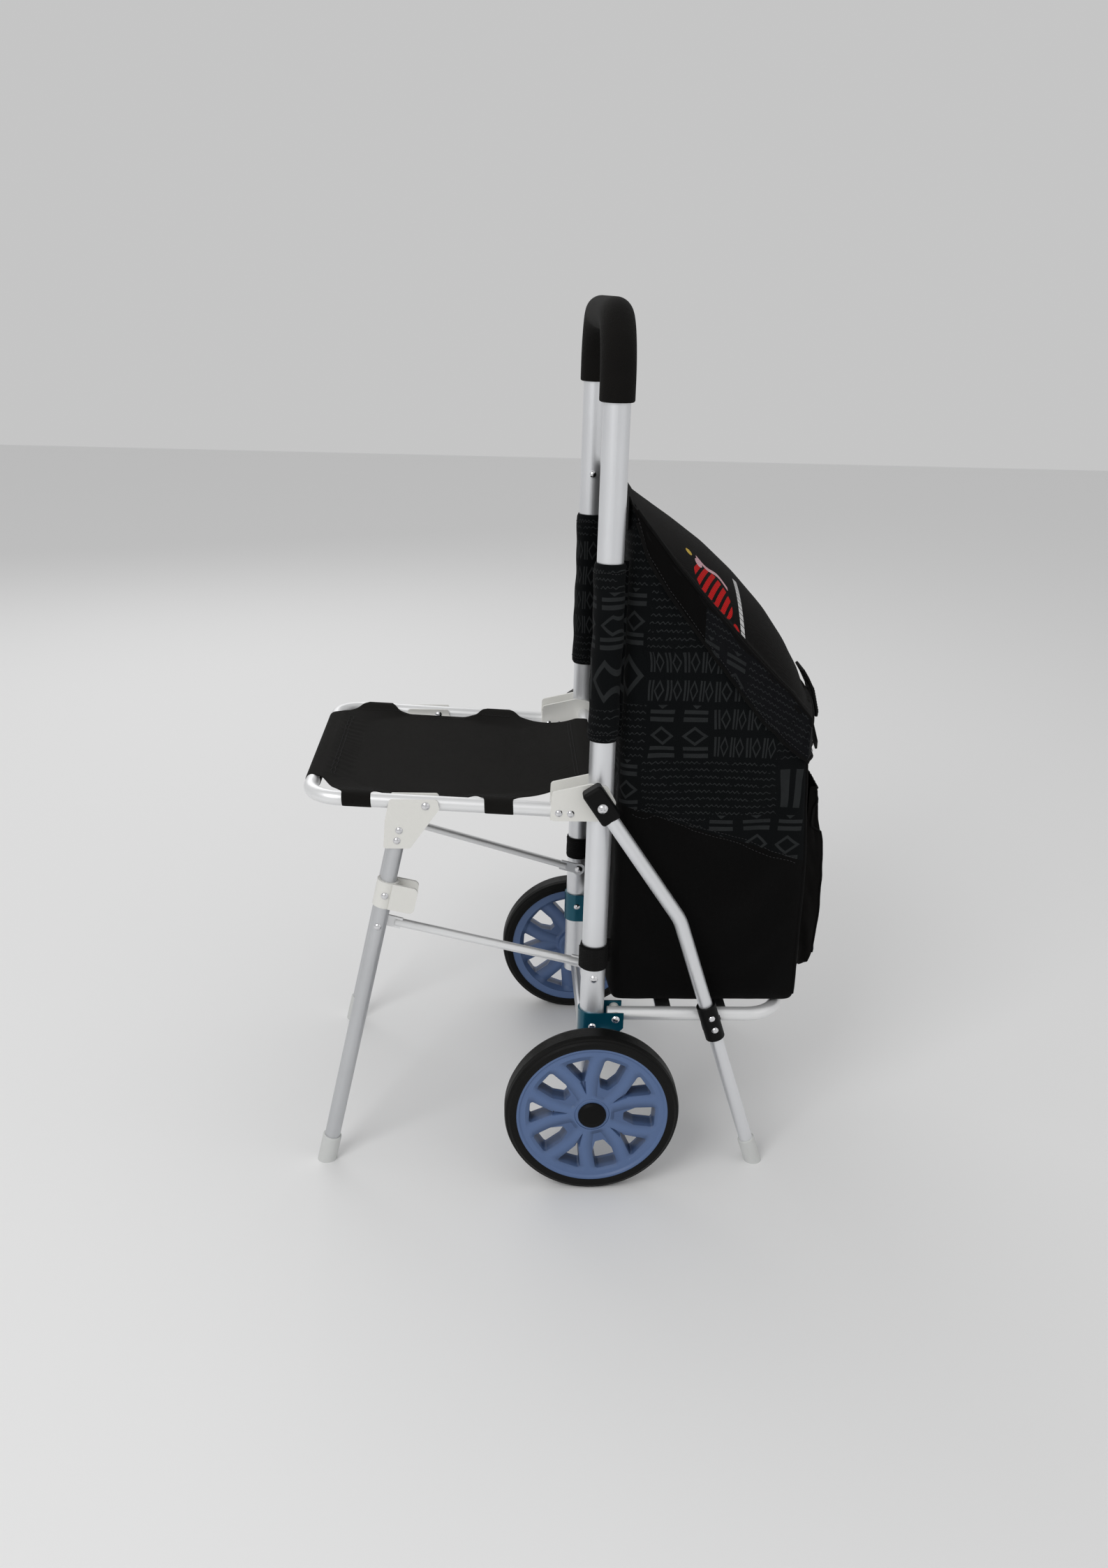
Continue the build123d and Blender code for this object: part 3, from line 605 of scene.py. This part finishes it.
def spaced(points, pitch):
    """Points evenly spaced along a line, each with its direction."""
    points = np.array([tuple(p) for p in points])
    runs = np.linalg.norm(np.diff(points, axis=0), axis=1)
    along = np.concatenate([[0], np.cumsum(runs)])
    stops = np.arange(pitch / 2, along[-1], pitch)
    middles = np.column_stack([np.interp(stops, along, points[:, k]) for k in range(3)])
    ahead = np.column_stack([np.interp(stops + pitch / 3, along, points[:, k]) for k in range(3)])
    return middles, ahead - middles


def stitching(name, points, body, pitch=0.0042, length=0.0030, thick=0.00045):
    """One row of sewing thread: short rounded stitches end to end along a line."""
    deselect()
    bpy.ops.mesh.primitive_uv_sphere_add(segments=6, ring_count=4, radius=1)
    piece = bpy.context.object
    piece.name = piece.data.name = name
    one = points_of(piece) * (thick, thick, length / 2)
    faces = [tuple(f.vertices) for f in piece.data.polygons]
    middles, ways = spaced(points, pitch)
    places, rings = [], []
    for number, (middle, way) in enumerate(zip(middles, ways)):
        turn = np.array(Vector(way).to_track_quat("Z", "Y").to_matrix())
        places.append(one @ turn.T + middle)
        rings += [tuple(number * len(one) + v for v in face) for face in faces]
    sewn = bpy.data.meshes.new(name)
    sewn.from_pydata(np.concatenate(places).tolist(), [], rings)
    piece.data = sewn
    smooth(piece, 80)
    sewn.materials.append(thread.material)
    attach(piece, body)


thread = Finish("black_thread", (0.016, 0.016, 0.017), 0.6, Specular_IOR_Level=0.2)
thread.shade(thread.noise(900, 2) * 0.6, (0.035, 0.035, 0.037))


def seat_row(x_from, x_to, ahead_from, ahead_to):
    """Points over the seat cloth along a straight row of stitches, as the thread is laid."""
    count = 50
    x, ahead = np.linspace(x_from, x_to, count), np.linspace(ahead_from, ahead_to, count)
    return seat_place(x, ahead, np.full(count, 0.03)).tolist()


across_seat = ((0.108, seat_depth - 0.029), (0.108, seat_depth - 0.033), (0.098, 0.024), (0.098, 0.028))
seat_rows = [seat_row(-half, half, ahead, ahead) for half, ahead in across_seat]
seat_rows += [seat_row(x, x, 0.094, 0.284) for x in (-0.140, 0.140)]
for number, row in enumerate(seat_rows):
    stitching(f"seat_stitching_{number}", laid_on(sling, row, 0.0002), "seat")


# ---- bag ----
# A sewn, lined shell of blue-black polyester with a grey print, plain black below a slanting
# seam and open at its sloping top. It stands on the platform on a stiff board inside its floor,
# and hangs from the handle tubes.
def ink_on(finish, u, v):
    """Grey print in patches: large and small emblems of two bars and a lozenge, and fine waves."""
    def emblem(across, upwards):
        tall = upwards.between(0.14, 0.86)
        bars = (across.between(0.06, 0.18) + across.between(0.27, 0.37)) * tall
        away = abs(across - 0.67) / 0.27 + abs(upwards - 0.5) / 0.38
        return bars + away.between(0.66, 1.0)

    patch_u, patch_v = u / 0.074, v / 0.063
    values = {"X": patch_u.floor(), "Y": patch_v.floor()}
    patch = finish.node("ShaderNodeCombineXYZ", {}, values)
    choice = finish.node("ShaderNodeTexWhiteNoise", {"noise_dimensions": "3D"}, {"Vector": patch})
    across, upwards = patch_u.part(), patch_v.part()
    large = emblem(across, upwards)
    small = emblem((across * 4.0).part(), (upwards * 2.0).part())
    turned = emblem((upwards * 1.5).part(), (across * 2.0).part())
    wavy = (v / 0.0082 + (u * (2 * pi / 0.0055)).sine() * 0.13).part() < 0.17
    waves = wavy * ((u / 0.034 + (v / 0.0082).floor() * 0.37).part() < 0.82)
    ink = (large * (choice < 0.24) + small * choice.between(0.24, 0.46)
           + turned * choice.between(0.46, 0.62) + waves * (choice > 0.62)).clamp()
    return ink * (0.55 + finish.noise(70, 4) * 0.6).clamp()


def printed_finish(name, plain_below=None):
    """Blue-black cloth with the grey print, and none of it below the height plain_below(y)."""
    finish = weave_finish(name, (0.0022, 0.0028, 0.0032), 0.0011, (0.0060, 0.0070, 0.0078))
    ink = ink_on(finish, finish.x + finish.y, finish.z)
    if plain_below:
        printed = finish.z > plain_below(finish.y)
        ink = ink * printed
        finish.shade(1 - printed, (0.0026, 0.0025, 0.0025))
    finish.shade(ink, (0.024, 0.026, 0.027))
    return finish


def block(name, low, high, cuts):
    """Box subdivided evenly, for a sewn shell whose shape is worked out later."""
    deselect()
    bpy.ops.mesh.primitive_cube_add(size=1)
    piece = bpy.context.object
    piece.name = piece.data.name = name
    size = Vector(high) - Vector(low)
    piece.data.transform(Matrix.Translation(low) @ Matrix.Diagonal((*size, 1))
                         @ Matrix.Translation((0.5, 0.5, 0.5)))
    bpy.ops.object.mode_set(mode="EDIT")
    bpy.ops.mesh.subdivide(number_cuts=cuts)
    bpy.ops.object.mode_set(mode="OBJECT")
    return piece


def rounded(places, low, high, radius):
    """Rounds off the edges of a box of points."""
    core = np.clip(places, np.array(low) + radius, np.array(high) - radius)
    away = places - core
    return core + radius * away / np.maximum(np.linalg.norm(away, axis=1, keepdims=True), 1e-9)


bag_low, bag_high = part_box("bag_body")
bag_half = bag_high.x
bag_back, bag_front, bag_floor = bag_low.y, bag_high.y, bag_low.z
rim_front, rim_back, back_top = 0.545, 0.771, bag_high.z
corner_radius = 0.013


def rim_height(y):
    """Height of the bag's sloping mouth, with the back panel standing up to the flap's seam."""
    return steps(y, (bag_back + 0.002, back_top), (bag_back + 0.006, rim_back),
                 (bag_back + 0.020, rim_back - 0.026), (bag_front, rim_front))


def panel_seam(y):
    """Height of the slanting seam between the print and the plain lower panel."""
    return 0.452 - (y - bag_back) * 0.31


bag = block("bag", (-bag_half, bag_back, 0), (bag_half, bag_front, 1), 30)
delete_faces(bag, lambda face: face.center.z > 0.999)
places = points_of(bag)
share = places[:, 2].copy()
places[:, 2] = bag_floor + share ** 1.1 * (rim_height(places[:, 1]) - bag_floor)
places = rounded(places, (-bag_half, bag_back, bag_floor), (bag_half, bag_front, 2), corner_radius)
# The top of the front panel leans in towards the handle.
lean = np.clip((places[:, 2] - 0.36) / 0.16, 0, 1) * (places[:, 1] - bag_back) / (bag_front - bag_back)
places[:, 1] -= 0.012 * lean
move_points(bag, places)


def held_by_seams(places):
    """Full grip at the corner seams, the rim and the floor."""
    x, y, z = np.abs(places[:, 0]), places[:, 1], places[:, 2]
    corner = (x > bag_half - 0.018) & ((y < bag_back + 0.018) | (y > bag_front - 0.018))
    rim = z > rim_height(y) - 0.016
    return np.where(corner | rim | (z < bag_floor + 0.016), 1, 0)


settle(bag, held_by_seams, 26, 0.014, 0.0075, pressure=0.12)
divide(bag)
# A loose fold of each side swells up from the lower edge of the flap, beside the handle tube.
x, y, z = points_of(bag).T
ahead = y - tubes_y
above = z - steps(ahead, (0.026, 0.627), (0.078, 0.626), (0.095, 0.643))
near_flap = np.clip((ahead - 0.024) / 0.02, 0, 1) * np.clip((0.100 - ahead) / 0.014, 0, 1)
full = np.clip(above / 0.010 + 0.5, 0, 1) * np.exp(-np.maximum(above, 0) / 0.024) * near_flap
on_side = np.clip((np.abs(x) - bag_half + 0.02) / 0.012, 0, 1)
x = x + on_side * np.sign(x) * full * np.where(x > 0, 0.0048, 0.0036)
move_points(bag, np.column_stack([x, y, z]))
creases = bpy.data.textures.new("bag_creases", "CLOUDS")
creases.noise_scale = 0.055
apply_modifier(bag, "DISPLACE", texture=creases, strength=0.0028, mid_level=0.5,
               texture_coords="GLOBAL")
bag_print = printed_finish("bag_print", panel_seam)
lining = weave_finish("coated_lining", (0.0060, 0.0062, 0.0066), 0.0011, (0.012, 0.0123, 0.013))
bag.data.materials.append(bag_print.material)
bag.data.materials.append(lining.material)
thicken(bag, 0.0013, -1.0, material_offset=1)
smooth(bag, 60)
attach(bag, "frame")
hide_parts("bag_body")
board = Finish("base_board", (0.012, 0.012, 0.012), 0.8, Specular_IOR_Level=0.15)
board.set("Roughness", 0.7 + board.noise(90, 4) * 0.2)
board.bump(board.noise(400, 3), 0.0003)
dress(board, "bag_base_board")


# ---- piping and stitching on the bag ----
# Black cord piping is sewn into the corner seams, a binding covers the rim, and double rows of
# thread run beside the slanting seam. All are laid on the finished cloth.
def piping(name, points, radius, body):
    """Round cord along a line of points."""
    curve = bpy.data.curves.new(name, "CURVE")
    curve.dimensions = "3D"
    curve.bevel_depth = radius
    curve.bevel_resolution = 2
    curve.use_fill_caps = True
    line = curve.splines.new("POLY")
    line.points.add(len(points) - 1)
    for at, point in zip(line.points, points):
        at.co = (*point, 1)
    piece = bpy.data.objects.new(name, curve)
    bpy.context.scene.collection.objects.link(piece)
    only(piece)
    bpy.ops.object.convert(target="MESH")
    piece = bpy.context.object
    smooth(piece, 70)
    piece.data.materials.append(cord_cloth.material)
    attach(piece, body)


cord_cloth = weave_finish("piping_cloth", (0.0030, 0.0029, 0.0029), 0.0009, (0.010, 0.010, 0.010))
hands = ((1, "right"), (-1, "left"))
for side, name in hands:
    heights = np.linspace(bag_floor + 0.012, rim_front + 0.004, 40)
    corner = [(side * (bag_half - 0.0035), bag_front - 0.0035, z) for z in heights]
    piping(f"bag_corner_piping_{name}", laid_on(bag, corner, 0.0004), 0.0017, "frame")
    across = np.linspace(bag_back + 0.016, bag_front - 0.012, 60)
    for row, drop in enumerate((0.002, -0.005)):
        seam = [(side * (bag_half + 0.02), y, panel_seam(y) + drop) for y in across]
        stitching(f"panel_stitching_{name}_{row}", laid_on(bag, seam, 0.0002), "frame")
    rim = [(side * (bag_half - 0.0006), y, rim_height(y) - 0.0006) for y in across]
    piping(f"bag_rim_binding_{name}", laid_on(bag, rim, 0.0002), 0.0022, "frame")
front_rim = [(x, bag_front - 0.0006, rim_front - 0.0006) for x in np.linspace(-0.136, 0.136, 40)]
piping("bag_rim_binding_front", laid_on(bag, front_rim, 0.0002), 0.0022, "frame")


# ---- front pocket ----
# A bulging pocket of plain black cloth sewn on the bag's front by its sides and foot. Its mouth
# has a folded hem with elastic in it, which pulls the mouth in towards the bag.
pocket_low, pocket_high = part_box("bag_pocket")
pocket_half, pocket_floor, pocket_top = pocket_high.x, pocket_low.z, pocket_high.z
pocket_height = pocket_top - pocket_floor
pocket_depth = pocket_high.y - pocket_low.y
pocket = grid("front_pocket", 64, 60, (-1.22, -0.16), (1.22, 1))
t, s, _ = points_of(pocket).T
outside = np.maximum(np.clip((np.abs(t) - 1) / 0.22, 0, 1), np.clip(-s / 0.16, 0, 1))
t, s = np.clip(t, -1, 1), np.clip(s, 0, 1)
depth = pocket_depth * steps(s, (0, 0.70), (0.07, 0.84), (0.25, 0.89), (0.5, 0.88), (0.7, 0.77),
                             (0.85, 0.54), (0.95, 0.30), (1, 0.26))
depth = depth * (1 - 0.22 * np.abs(t) ** 4)
gathers = 0.0011 * np.sin(t * 70) * np.clip((s - 0.86) / 0.14, 0, 1)
move_points(pocket, np.column_stack([
    t * (pocket_half - 0.001 - 0.006 * np.clip(s - 0.8, 0, 1)),
    bag_front + 0.0012 + (depth + gathers) * (1 - outside) ** 0.8,
    pocket_floor + s * pocket_height + 0.004 * (1 - outside) * (s < 0.01)]))
tidy_mesh(pocket, 0.0003)


def put_on(piece, finish, body):
    """Gives a finished piece its cloth, and the body that it moves with."""
    piece.data.materials.append(finish.material)
    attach(piece, body)


def held_by_pocket_seam(places):
    """Full grip where the pocket is sewn to the bag and along its hem."""
    return np.where((places[:, 1] < bag_front + 0.006) | (places[:, 2] > pocket_top - 0.014), 1, 0)


settle(pocket, held_by_pocket_seam, 22, 0.02, 0.006, pressure=0.1)
divide(pocket)
thicken(pocket, 0.0012)
smooth(pocket, 60)
plain_cloth = weave_finish("plain_black_cloth", (0.0040, 0.0037, 0.0036), 0.0011,
                           (0.0115, 0.0105, 0.0100))
put_on(pocket, plain_cloth, "frame")
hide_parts("bag_pocket")
hem_edge, hem_row = ([(x, pocket_high.y, pocket_top - drop) for x in np.linspace(-0.112, 0.112, 50)]
                     for drop in (0.001, 0.017))
piping("pocket_hem_edge", laid_on(pocket, hem_edge, 0.0003), 0.0016, "frame")
stitching("pocket_hem_stitching", laid_on(pocket, hem_row, 0.0002), "frame")
for side, name in hands:
    heights = np.linspace(pocket_floor + 0.012, pocket_top - 0.004, 40)
    edge = [(side * (pocket_half + 0.01), bag_front + 0.028 * (z < pocket_top - 0.05) + 0.012, z)
            for z in heights]
    piping(f"pocket_side_piping_{name}", laid_on(pocket, edge, 0.0002), 0.0014, "frame")


# ---- flap ----
# The bag's lid: a crowned panel of plain black cloth, piped at its edge, with a hanging skirt
# that is plain beside the mouth and printed towards the front. It turns up on its rear seam.
flap_low, flap_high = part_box("bag_flap")
flap_half = flap_high.x
panel_half = flap_half - 0.0045
flap_crest = [(0.019, 0.790), (0.045, 0.770), (0.090, 0.741), (0.125, 0.716), (0.160, 0.685),
              (0.193, 0.650), (0.216, 0.618), (0.231, 0.590), (0.241, 0.560), (0.2445, 0.547)]
flap_seam = [(0.021, 0.780), (0.040, 0.757), (0.068, 0.722), (0.094, 0.692), (0.126, 0.657),
             (0.160, 0.622), (0.191, 0.592), (0.216, 0.570), (0.237, 0.554), (0.2445, 0.546)]
flap_edge = [(0.022, 0.775), (0.040, 0.723), (0.063, 0.688), (0.088, 0.656), (0.115, 0.622),
             (0.145, 0.585), (0.174, 0.549), (0.200, 0.528), (0.226, 0.513), (0.2455, 0.504)]


def along_line(line, share):
    """Y and Z a share of the way along a line of points, in the cart's own frame."""
    places = np.array(line) + (tubes_y, 0)
    return np.column_stack([np.interp(share * (len(line) - 1), range(len(line)), places[:, k])
                            for k in (0, 1)])


def front_bow(t, s):
    """How far the flap's front stands out in its middle and is drawn back at its corners."""
    return (0.007 - 0.0245 * np.abs(t) ** 1.7) * np.clip((s - 0.72) / 0.28, 0, 1)


# t runs across the panel, s down it from the hinge, and both run on past it down the skirt.
flap = grid("bag_flap_cover", 84, 80, (-1.3, 0), (1.3, 1.25))
t, s, _ = points_of(flap).T
skirt = np.maximum(np.clip((np.abs(t) - 1) / 0.3, 0, 1), np.clip((s - 1) / 0.25, 0, 1))
t, s = np.clip(t, -1, 1), np.clip(s, 0, 1)
crown = 1 - np.abs(t) ** 2.8
crest, seam, edge = (along_line(line, s) for line in (flap_crest, flap_seam, flap_edge))
sheet_yz = seam + (crest - seam) * crown[:, None]
front_edge = along_line(flap_edge, np.ones_like(s))
front_seam = along_line(flap_seam, np.ones_like(s))
side_way = np.clip((np.abs(t) - 0.94) / 0.06, 0, 1)[:, None]
drop = np.where((s > 0.999)[:, None], front_edge - front_seam, (edge - seam) * side_way)
ripple = 0.0016 * np.sin(s * 46) * np.sin(skirt * pi) * (s < 0.999)
ripple = ripple + 0.0022 * np.sin(t * 23 + 0.8) * skirt * (s > 0.999)
x = t * panel_half + np.sign(t) * (0.0025 * skirt + ripple) * (s < 0.999)
places = np.column_stack([x, sheet_yz + drop * skirt[:, None]])
places[:, 1] += ripple * (s > 0.999)
places[:, 1] += front_bow(t, s)
move_points(flap, places)
panel_slot, skirt_slot = 0, 1
for face in flap.data.polygons:
    on_skirt = any(skirt[v] > 0.01 for v in face.vertices)
    face.material_index = skirt_slot if on_skirt else panel_slot
tidy_mesh(flap, 0.0004)


def held_by_flap_seam(places):
    """Full grip along the hinge seam, the piped seam and the skirt; none on the crowned panel."""
    aside = np.abs(places[:, 0]) / flap_half
    return np.where((places[:, 1] < flap_low.y + 0.012) | (aside > 0.93) | (places[:, 2] < 0.556), 1, 0)


settle(flap, held_by_flap_seam, 20, 0.012, 0.005, gravity=0.6, pressure=0.1)
divide(flap)


def flap_finish():
    """Plain cloth with an embroidered motif: slanting red leaves, a pink ribbon, a yellow bud
    and a broken white line, in raised satin stitch."""
    finish = weave_finish("flap_cloth", (0.0030, 0.0027, 0.0026), 0.0011, (0.0100, 0.0090, 0.0085))
    x, y = finish.x, finish.y - tubes_y

    def oval(across, along, half_across, half_along):
        a, b = (x - across) / half_across, (y - along) / half_along
        return (a * a + b * b) < 1.0

    satin = ((x * 0.6 + y) * (2 * pi / 0.0011)).sine() * 0.5 + 0.5
    leaves = ((x * 0.42 + y) / 0.0072).part() < 0.60
    leaves = leaves * oval(0.126, 0.114, 0.022, 0.022)
    leaves = leaves.most(oval(0.143, 0.139, 0.005, 0.0035))
    swing = x - 0.1015 - ((y - 0.1) * 210.0).sine() * 0.0035
    ribbon = (abs(swing) < 0.0026) * y.between(0.097, 0.133)
    ribbon = ribbon.most(oval(0.108, 0.099, 0.006, 0.004))
    bud = oval(0.103, 0.0885, 0.0045, 0.0035)
    line = y.between(0.1445, 0.1492) * x.between(0.062, 0.144) * ((x / 0.0063).part() < 0.86)
    for mask, dark, pale in ((leaves, (0.30, 0.004, 0.006), (0.62, 0.020, 0.018)),
                             (ribbon, (0.42, 0.20, 0.24), (0.72, 0.52, 0.55)),
                             (bud, (0.42, 0.27, 0.03), (0.70, 0.52, 0.12)),
                             (line, (0.42, 0.42, 0.42), (0.75, 0.75, 0.75))):
        finish.shade(mask, finish.mix(satin, dark, pale))
    sewn = leaves.most(ribbon).most(bud).most(line)
    finish.bump(finish.threads * (1 - sewn) + sewn * (satin * 0.7 + 2.6), 0.00045, 0.8)
    return finish


def skirt_finish():
    """Flap's skirt: plain beside the mouth, printed from a cross seam to the front."""
    finish = weave_finish("flap_skirt_cloth", (0.0040, 0.0043, 0.0052), 0.0011, (0.010, 0.0105, 0.012))
    printed = (finish.y - tubes_y) > 0.104
    ink = ink_on(finish, finish.x * 0.9 + finish.y * 1.3, finish.z * 1.05 + finish.y * 0.6)
    finish.shade(1 - printed, (0.0022, 0.0020, 0.0020))
    finish.shade(ink * printed, (0.022, 0.024, 0.025))
    return finish


flap_cloth = flap_finish()
skirt_cloth = skirt_finish()
# The second pair lines the inside of the panel and of the skirt.
for cloth in (flap_cloth, skirt_cloth, lining, lining):
    flap.data.materials.append(cloth.material)
thicken(flap, 0.0013, -1.0, material_offset=2)
smooth(flap, 60)
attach(flap, "flap")
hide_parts("bag_flap")


def flap_route(line, out):
    """Points down the flap's right side, across its front and up its left side."""
    shares = np.linspace(0.03, 1, 44)
    sides_yz = along_line(line, shares)
    y, z = sides_yz[-1]
    sides_yz[:, 0] += front_bow(1, shares)
    half = panel_half + out
    right = [(half, *yz) for yz in sides_yz[:-1]]
    front = [(x, y + 0.002 + front_bow(x / half, 1), z) for x in np.linspace(half, -half, 50)]
    return right + front + [(-x, *yz) for x, *yz in reversed(right)]


seam_line, edge_line = flap_route(flap_seam, 0.0), flap_route(flap_edge, 0.002)
edge_row = [(x, y, z + 0.006) for x, y, z in flap_route(flap_edge, 0.004)]
piping("flap_seam_piping", laid_on(flap, seam_line, 0.0006), 0.0016, "flap")
piping("flap_edge_binding", laid_on(flap, edge_line, 0.0002), 0.0019, "flap")
stitching("flap_edge_stitching", laid_on(flap, edge_row, 0.0008), "flap")

# A flat tape behind the hinge seam closes the gap there when the flap is lifted.
hinge = grid("flap_hinge_tape", 60, 6, (-0.147, 0.752), (0.147, 0.7865))
x, z, _ = points_of(hinge).T
move_points(hinge, np.column_stack([x, np.full_like(x, tubes_y + 0.0182), z]))
thicken(hinge, 0.0014)
smooth(hinge)
put_on(hinge, cord_cloth, "frame")


# ---- closing tab and strap ----
# A doubled black tab is sewn over the middle of the flap's front seam, and a pointed strap end
# of the same webbing hangs from it and holds the flap down by a patch of hook-and-loop.
tab_half, strap_half = 0.021, 0.0185
front_y = flap_high.y + 0.0008
webbing_cloth = Finish("black_webbing", (0.0034, 0.0033, 0.0033), 0.8, Specular_IOR_Level=0.15)
ribs = (webbing_cloth.z * (2 * pi / 0.0016)).sine() * (webbing_cloth.x * (2 * pi / 0.0022)).sine()
webbing_cloth.shade((ribs * 0.5 + 0.5) * 0.5, (0.012, 0.012, 0.012))
webbing_cloth.set("Roughness", 0.72 + webbing_cloth.noise(120, 3) * 0.15)
webbing_cloth.bump(ribs, 0.0004)


def webbing(name, outline, rows, thickness):
    """Flat strap through rows of (share down, half width, distance past front_y, height)."""
    strap = grid(name, 12, rows, (-1, 0), (1, 1))
    t, s, _ = points_of(strap).T
    shares, halves, past, heights = zip(*outline)
    half, out, z = (np.interp(s, shares, values) for values in (halves, past, heights))
    y = front_y + out
    move_points(strap, np.column_stack([t * half, y, z]))
    tidy_mesh(strap, 0.0002)
    thicken(strap, thickness)
    apply_modifier(strap, "BEVEL", width=thickness * 0.3, segments=2, limit_method="ANGLE")
    smooth(strap)
    put_on(strap, webbing_cloth, "flap")
    return strap


tab_outline = [(0, tab_half, -0.013, 0.572), (0.2, tab_half, -0.0065, 0.562),
               (0.45, tab_half, 0.0010, 0.548), (0.9, tab_half, 0.0080, 0.522),
               (1, tab_half * 0.94, 0.0080, 0.515)]
strap_outline = [(0, strap_half, 0.0015, 0.530), (0.35, strap_half, 0.0045, 0.508),
                 (0.75, strap_half, 0.0120, 0.484), (1, 0.0012, 0.0165, 0.469)]
tab = webbing("closing_tab", tab_outline, 30, 0.0036)
strap = webbing("closing_strap", strap_outline, 34, 0.0024)
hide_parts("flap_strap")
for row, inset in enumerate((0.0025, 0.0045)):
    half = tab_half - inset
    outline = [(-half, 0.562), (half, 0.562), (half, 0.520), (-half, 0.520), (-half, 0.562)]
    corners = [(x, front_y + 0.02, z) for x, z in outline]
    line = [tuple(a + (b - a) * k / 14 for a, b in zip(first, second))
            for first, second in zip(corners, corners[1:]) for k in range(14)]
    stitching(f"tab_stitching_{row}", laid_on(tab, line, 0.0001), "flap", 0.0034, 0.0024)


# ---- tube sleeves ----
# Long printed sleeves, sewn on the back of the bag, slide over the handle tubes and hold the
# bag upright. Their hems are turned in, and the cloth is slightly gathered on the tube.
sleeve_low, sleeve_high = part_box("tube_sleeves")
tube_x = 0.160
tube_radius = 0.014


def tube_fin(name, side, low, high, rows):
    """Narrow strip of cloth from the wrap to the back of the bag."""
    fin = grid(name, 4, rows, (0, 0), (1, 1))
    across, up, _ = points_of(fin).T
    start = Vector((side * (tube_x - 0.0105), tubes_y + 0.0106, 0))
    x = start.x + across * side * 0.0004 + 0.0006 * np.sin(up * 17) * across
    y = start.y + across * (bag_back - start.y + 0.0004)
    move_points(fin, np.column_stack([x, y, low + up * (high - low)]))
    return fin


def tube_wrap(name, side, low, high, radius, rows, ripple, finish):
    """Cloth round a handle tube, drawn to a fin at its rear corner where it joins the bag."""
    deselect()
    bpy.ops.mesh.primitive_cylinder_add(vertices=56, radius=1, depth=1, end_fill_type="NOTHING")
    piece = bpy.context.object
    piece.name = piece.data.name = name
    levels = points_of(piece)[:, 2]
    pick(piece, "EDGE", lambda edge: np.ptp(levels[list(edge.vertices)]) > 0.5)
    bpy.ops.mesh.subdivide(number_cuts=rows)
    bpy.ops.object.mode_set(mode="OBJECT")
    x, y, z = points_of(piece).T
    turn, up = np.arctan2(y, x), z + 0.5
    hem = np.clip((np.abs(up - 0.5) - 0.485) / 0.015, 0, 1)
    folds = np.sin(up * 21 + 2 * np.sin(turn)) * np.sin(up * 8.3 + turn * 2)
    folds = folds + 0.5 * np.sin(turn * 3 + up * 5)
    out = radius + ripple * (folds * 0.6 + 0.6) * (1 - hem) - 0.0004 * hem
    move_points(piece, np.column_stack([side * tube_x + out * np.cos(turn), tubes_y + out * np.sin(turn),
                                        low + up * (high - low)]))
    fin = tube_fin(f"{name}_fin", side, low, high, rows)
    only(piece)
    fin.select_set(True)
    bpy.ops.object.join()
    thicken(piece, 0.0010)
    smooth(piece, 60)
    put_on(piece, finish, "frame")
    return piece


sleeve_print = printed_finish("sleeve_print")
for side, name in hands:
    sleeve = tube_wrap(f"tube_sleeve_{name}", side, sleeve_low.z, sleeve_high.z, tube_radius + 0.0012, 60,
                       0.0013, sleeve_print)
    if side == 1:
        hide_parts("tube_sleeves")
    for level, z in (("low", sleeve_low.z + 0.009), ("high", sleeve_high.z - 0.009)):
        ring = [(side * tube_x + 0.03 * cos(a), tubes_y + 0.03 * sin(a), z)
                for a in np.linspace(0, 2 * pi, 40)]
        stitching(f"sleeve_stitching_{name}_{level}", laid_on(sleeve, ring, 0.0001), "frame",
                  0.0034, 0.0024)


# ---- foot straps ----
# Short hook-and-loop straps tie the foot of the bag to the handle tubes: a doubled black band
# whose free end lies on the outside of the tube.
strap_floor, strap_top = (corner.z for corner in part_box("base_straps"))
for side, name in hands:
    band = tube_wrap(f"foot_strap_{name}", side, strap_floor, strap_top, tube_radius + 0.0014, 10,
                     0.0003, webbing_cloth)
    if side == 1:
        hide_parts("base_straps")
    end = grid(f"foot_strap_end_{name}", 22, 10, (-1, 0), (1, 1))
    t, s, _ = points_of(end).T
    turn = radians(-20) + t * radians(62) + (0 if side == 1 else pi)
    lift = tube_radius + 0.0030 + 0.0004 * np.clip(np.abs(t) - 0.8, 0, 1)
    move_points(end, np.column_stack([side * tube_x + lift * np.cos(turn),
                                      tubes_y + lift * np.sin(turn),
                                      strap_floor + 0.0015 + s * (strap_top - strap_floor - 0.003)]))
    thicken(end, 0.0013)
    apply_modifier(end, "BEVEL", width=0.0004, segments=2, limit_method="ANGLE")
    smooth(end)
    put_on(end, webbing_cloth, "frame")
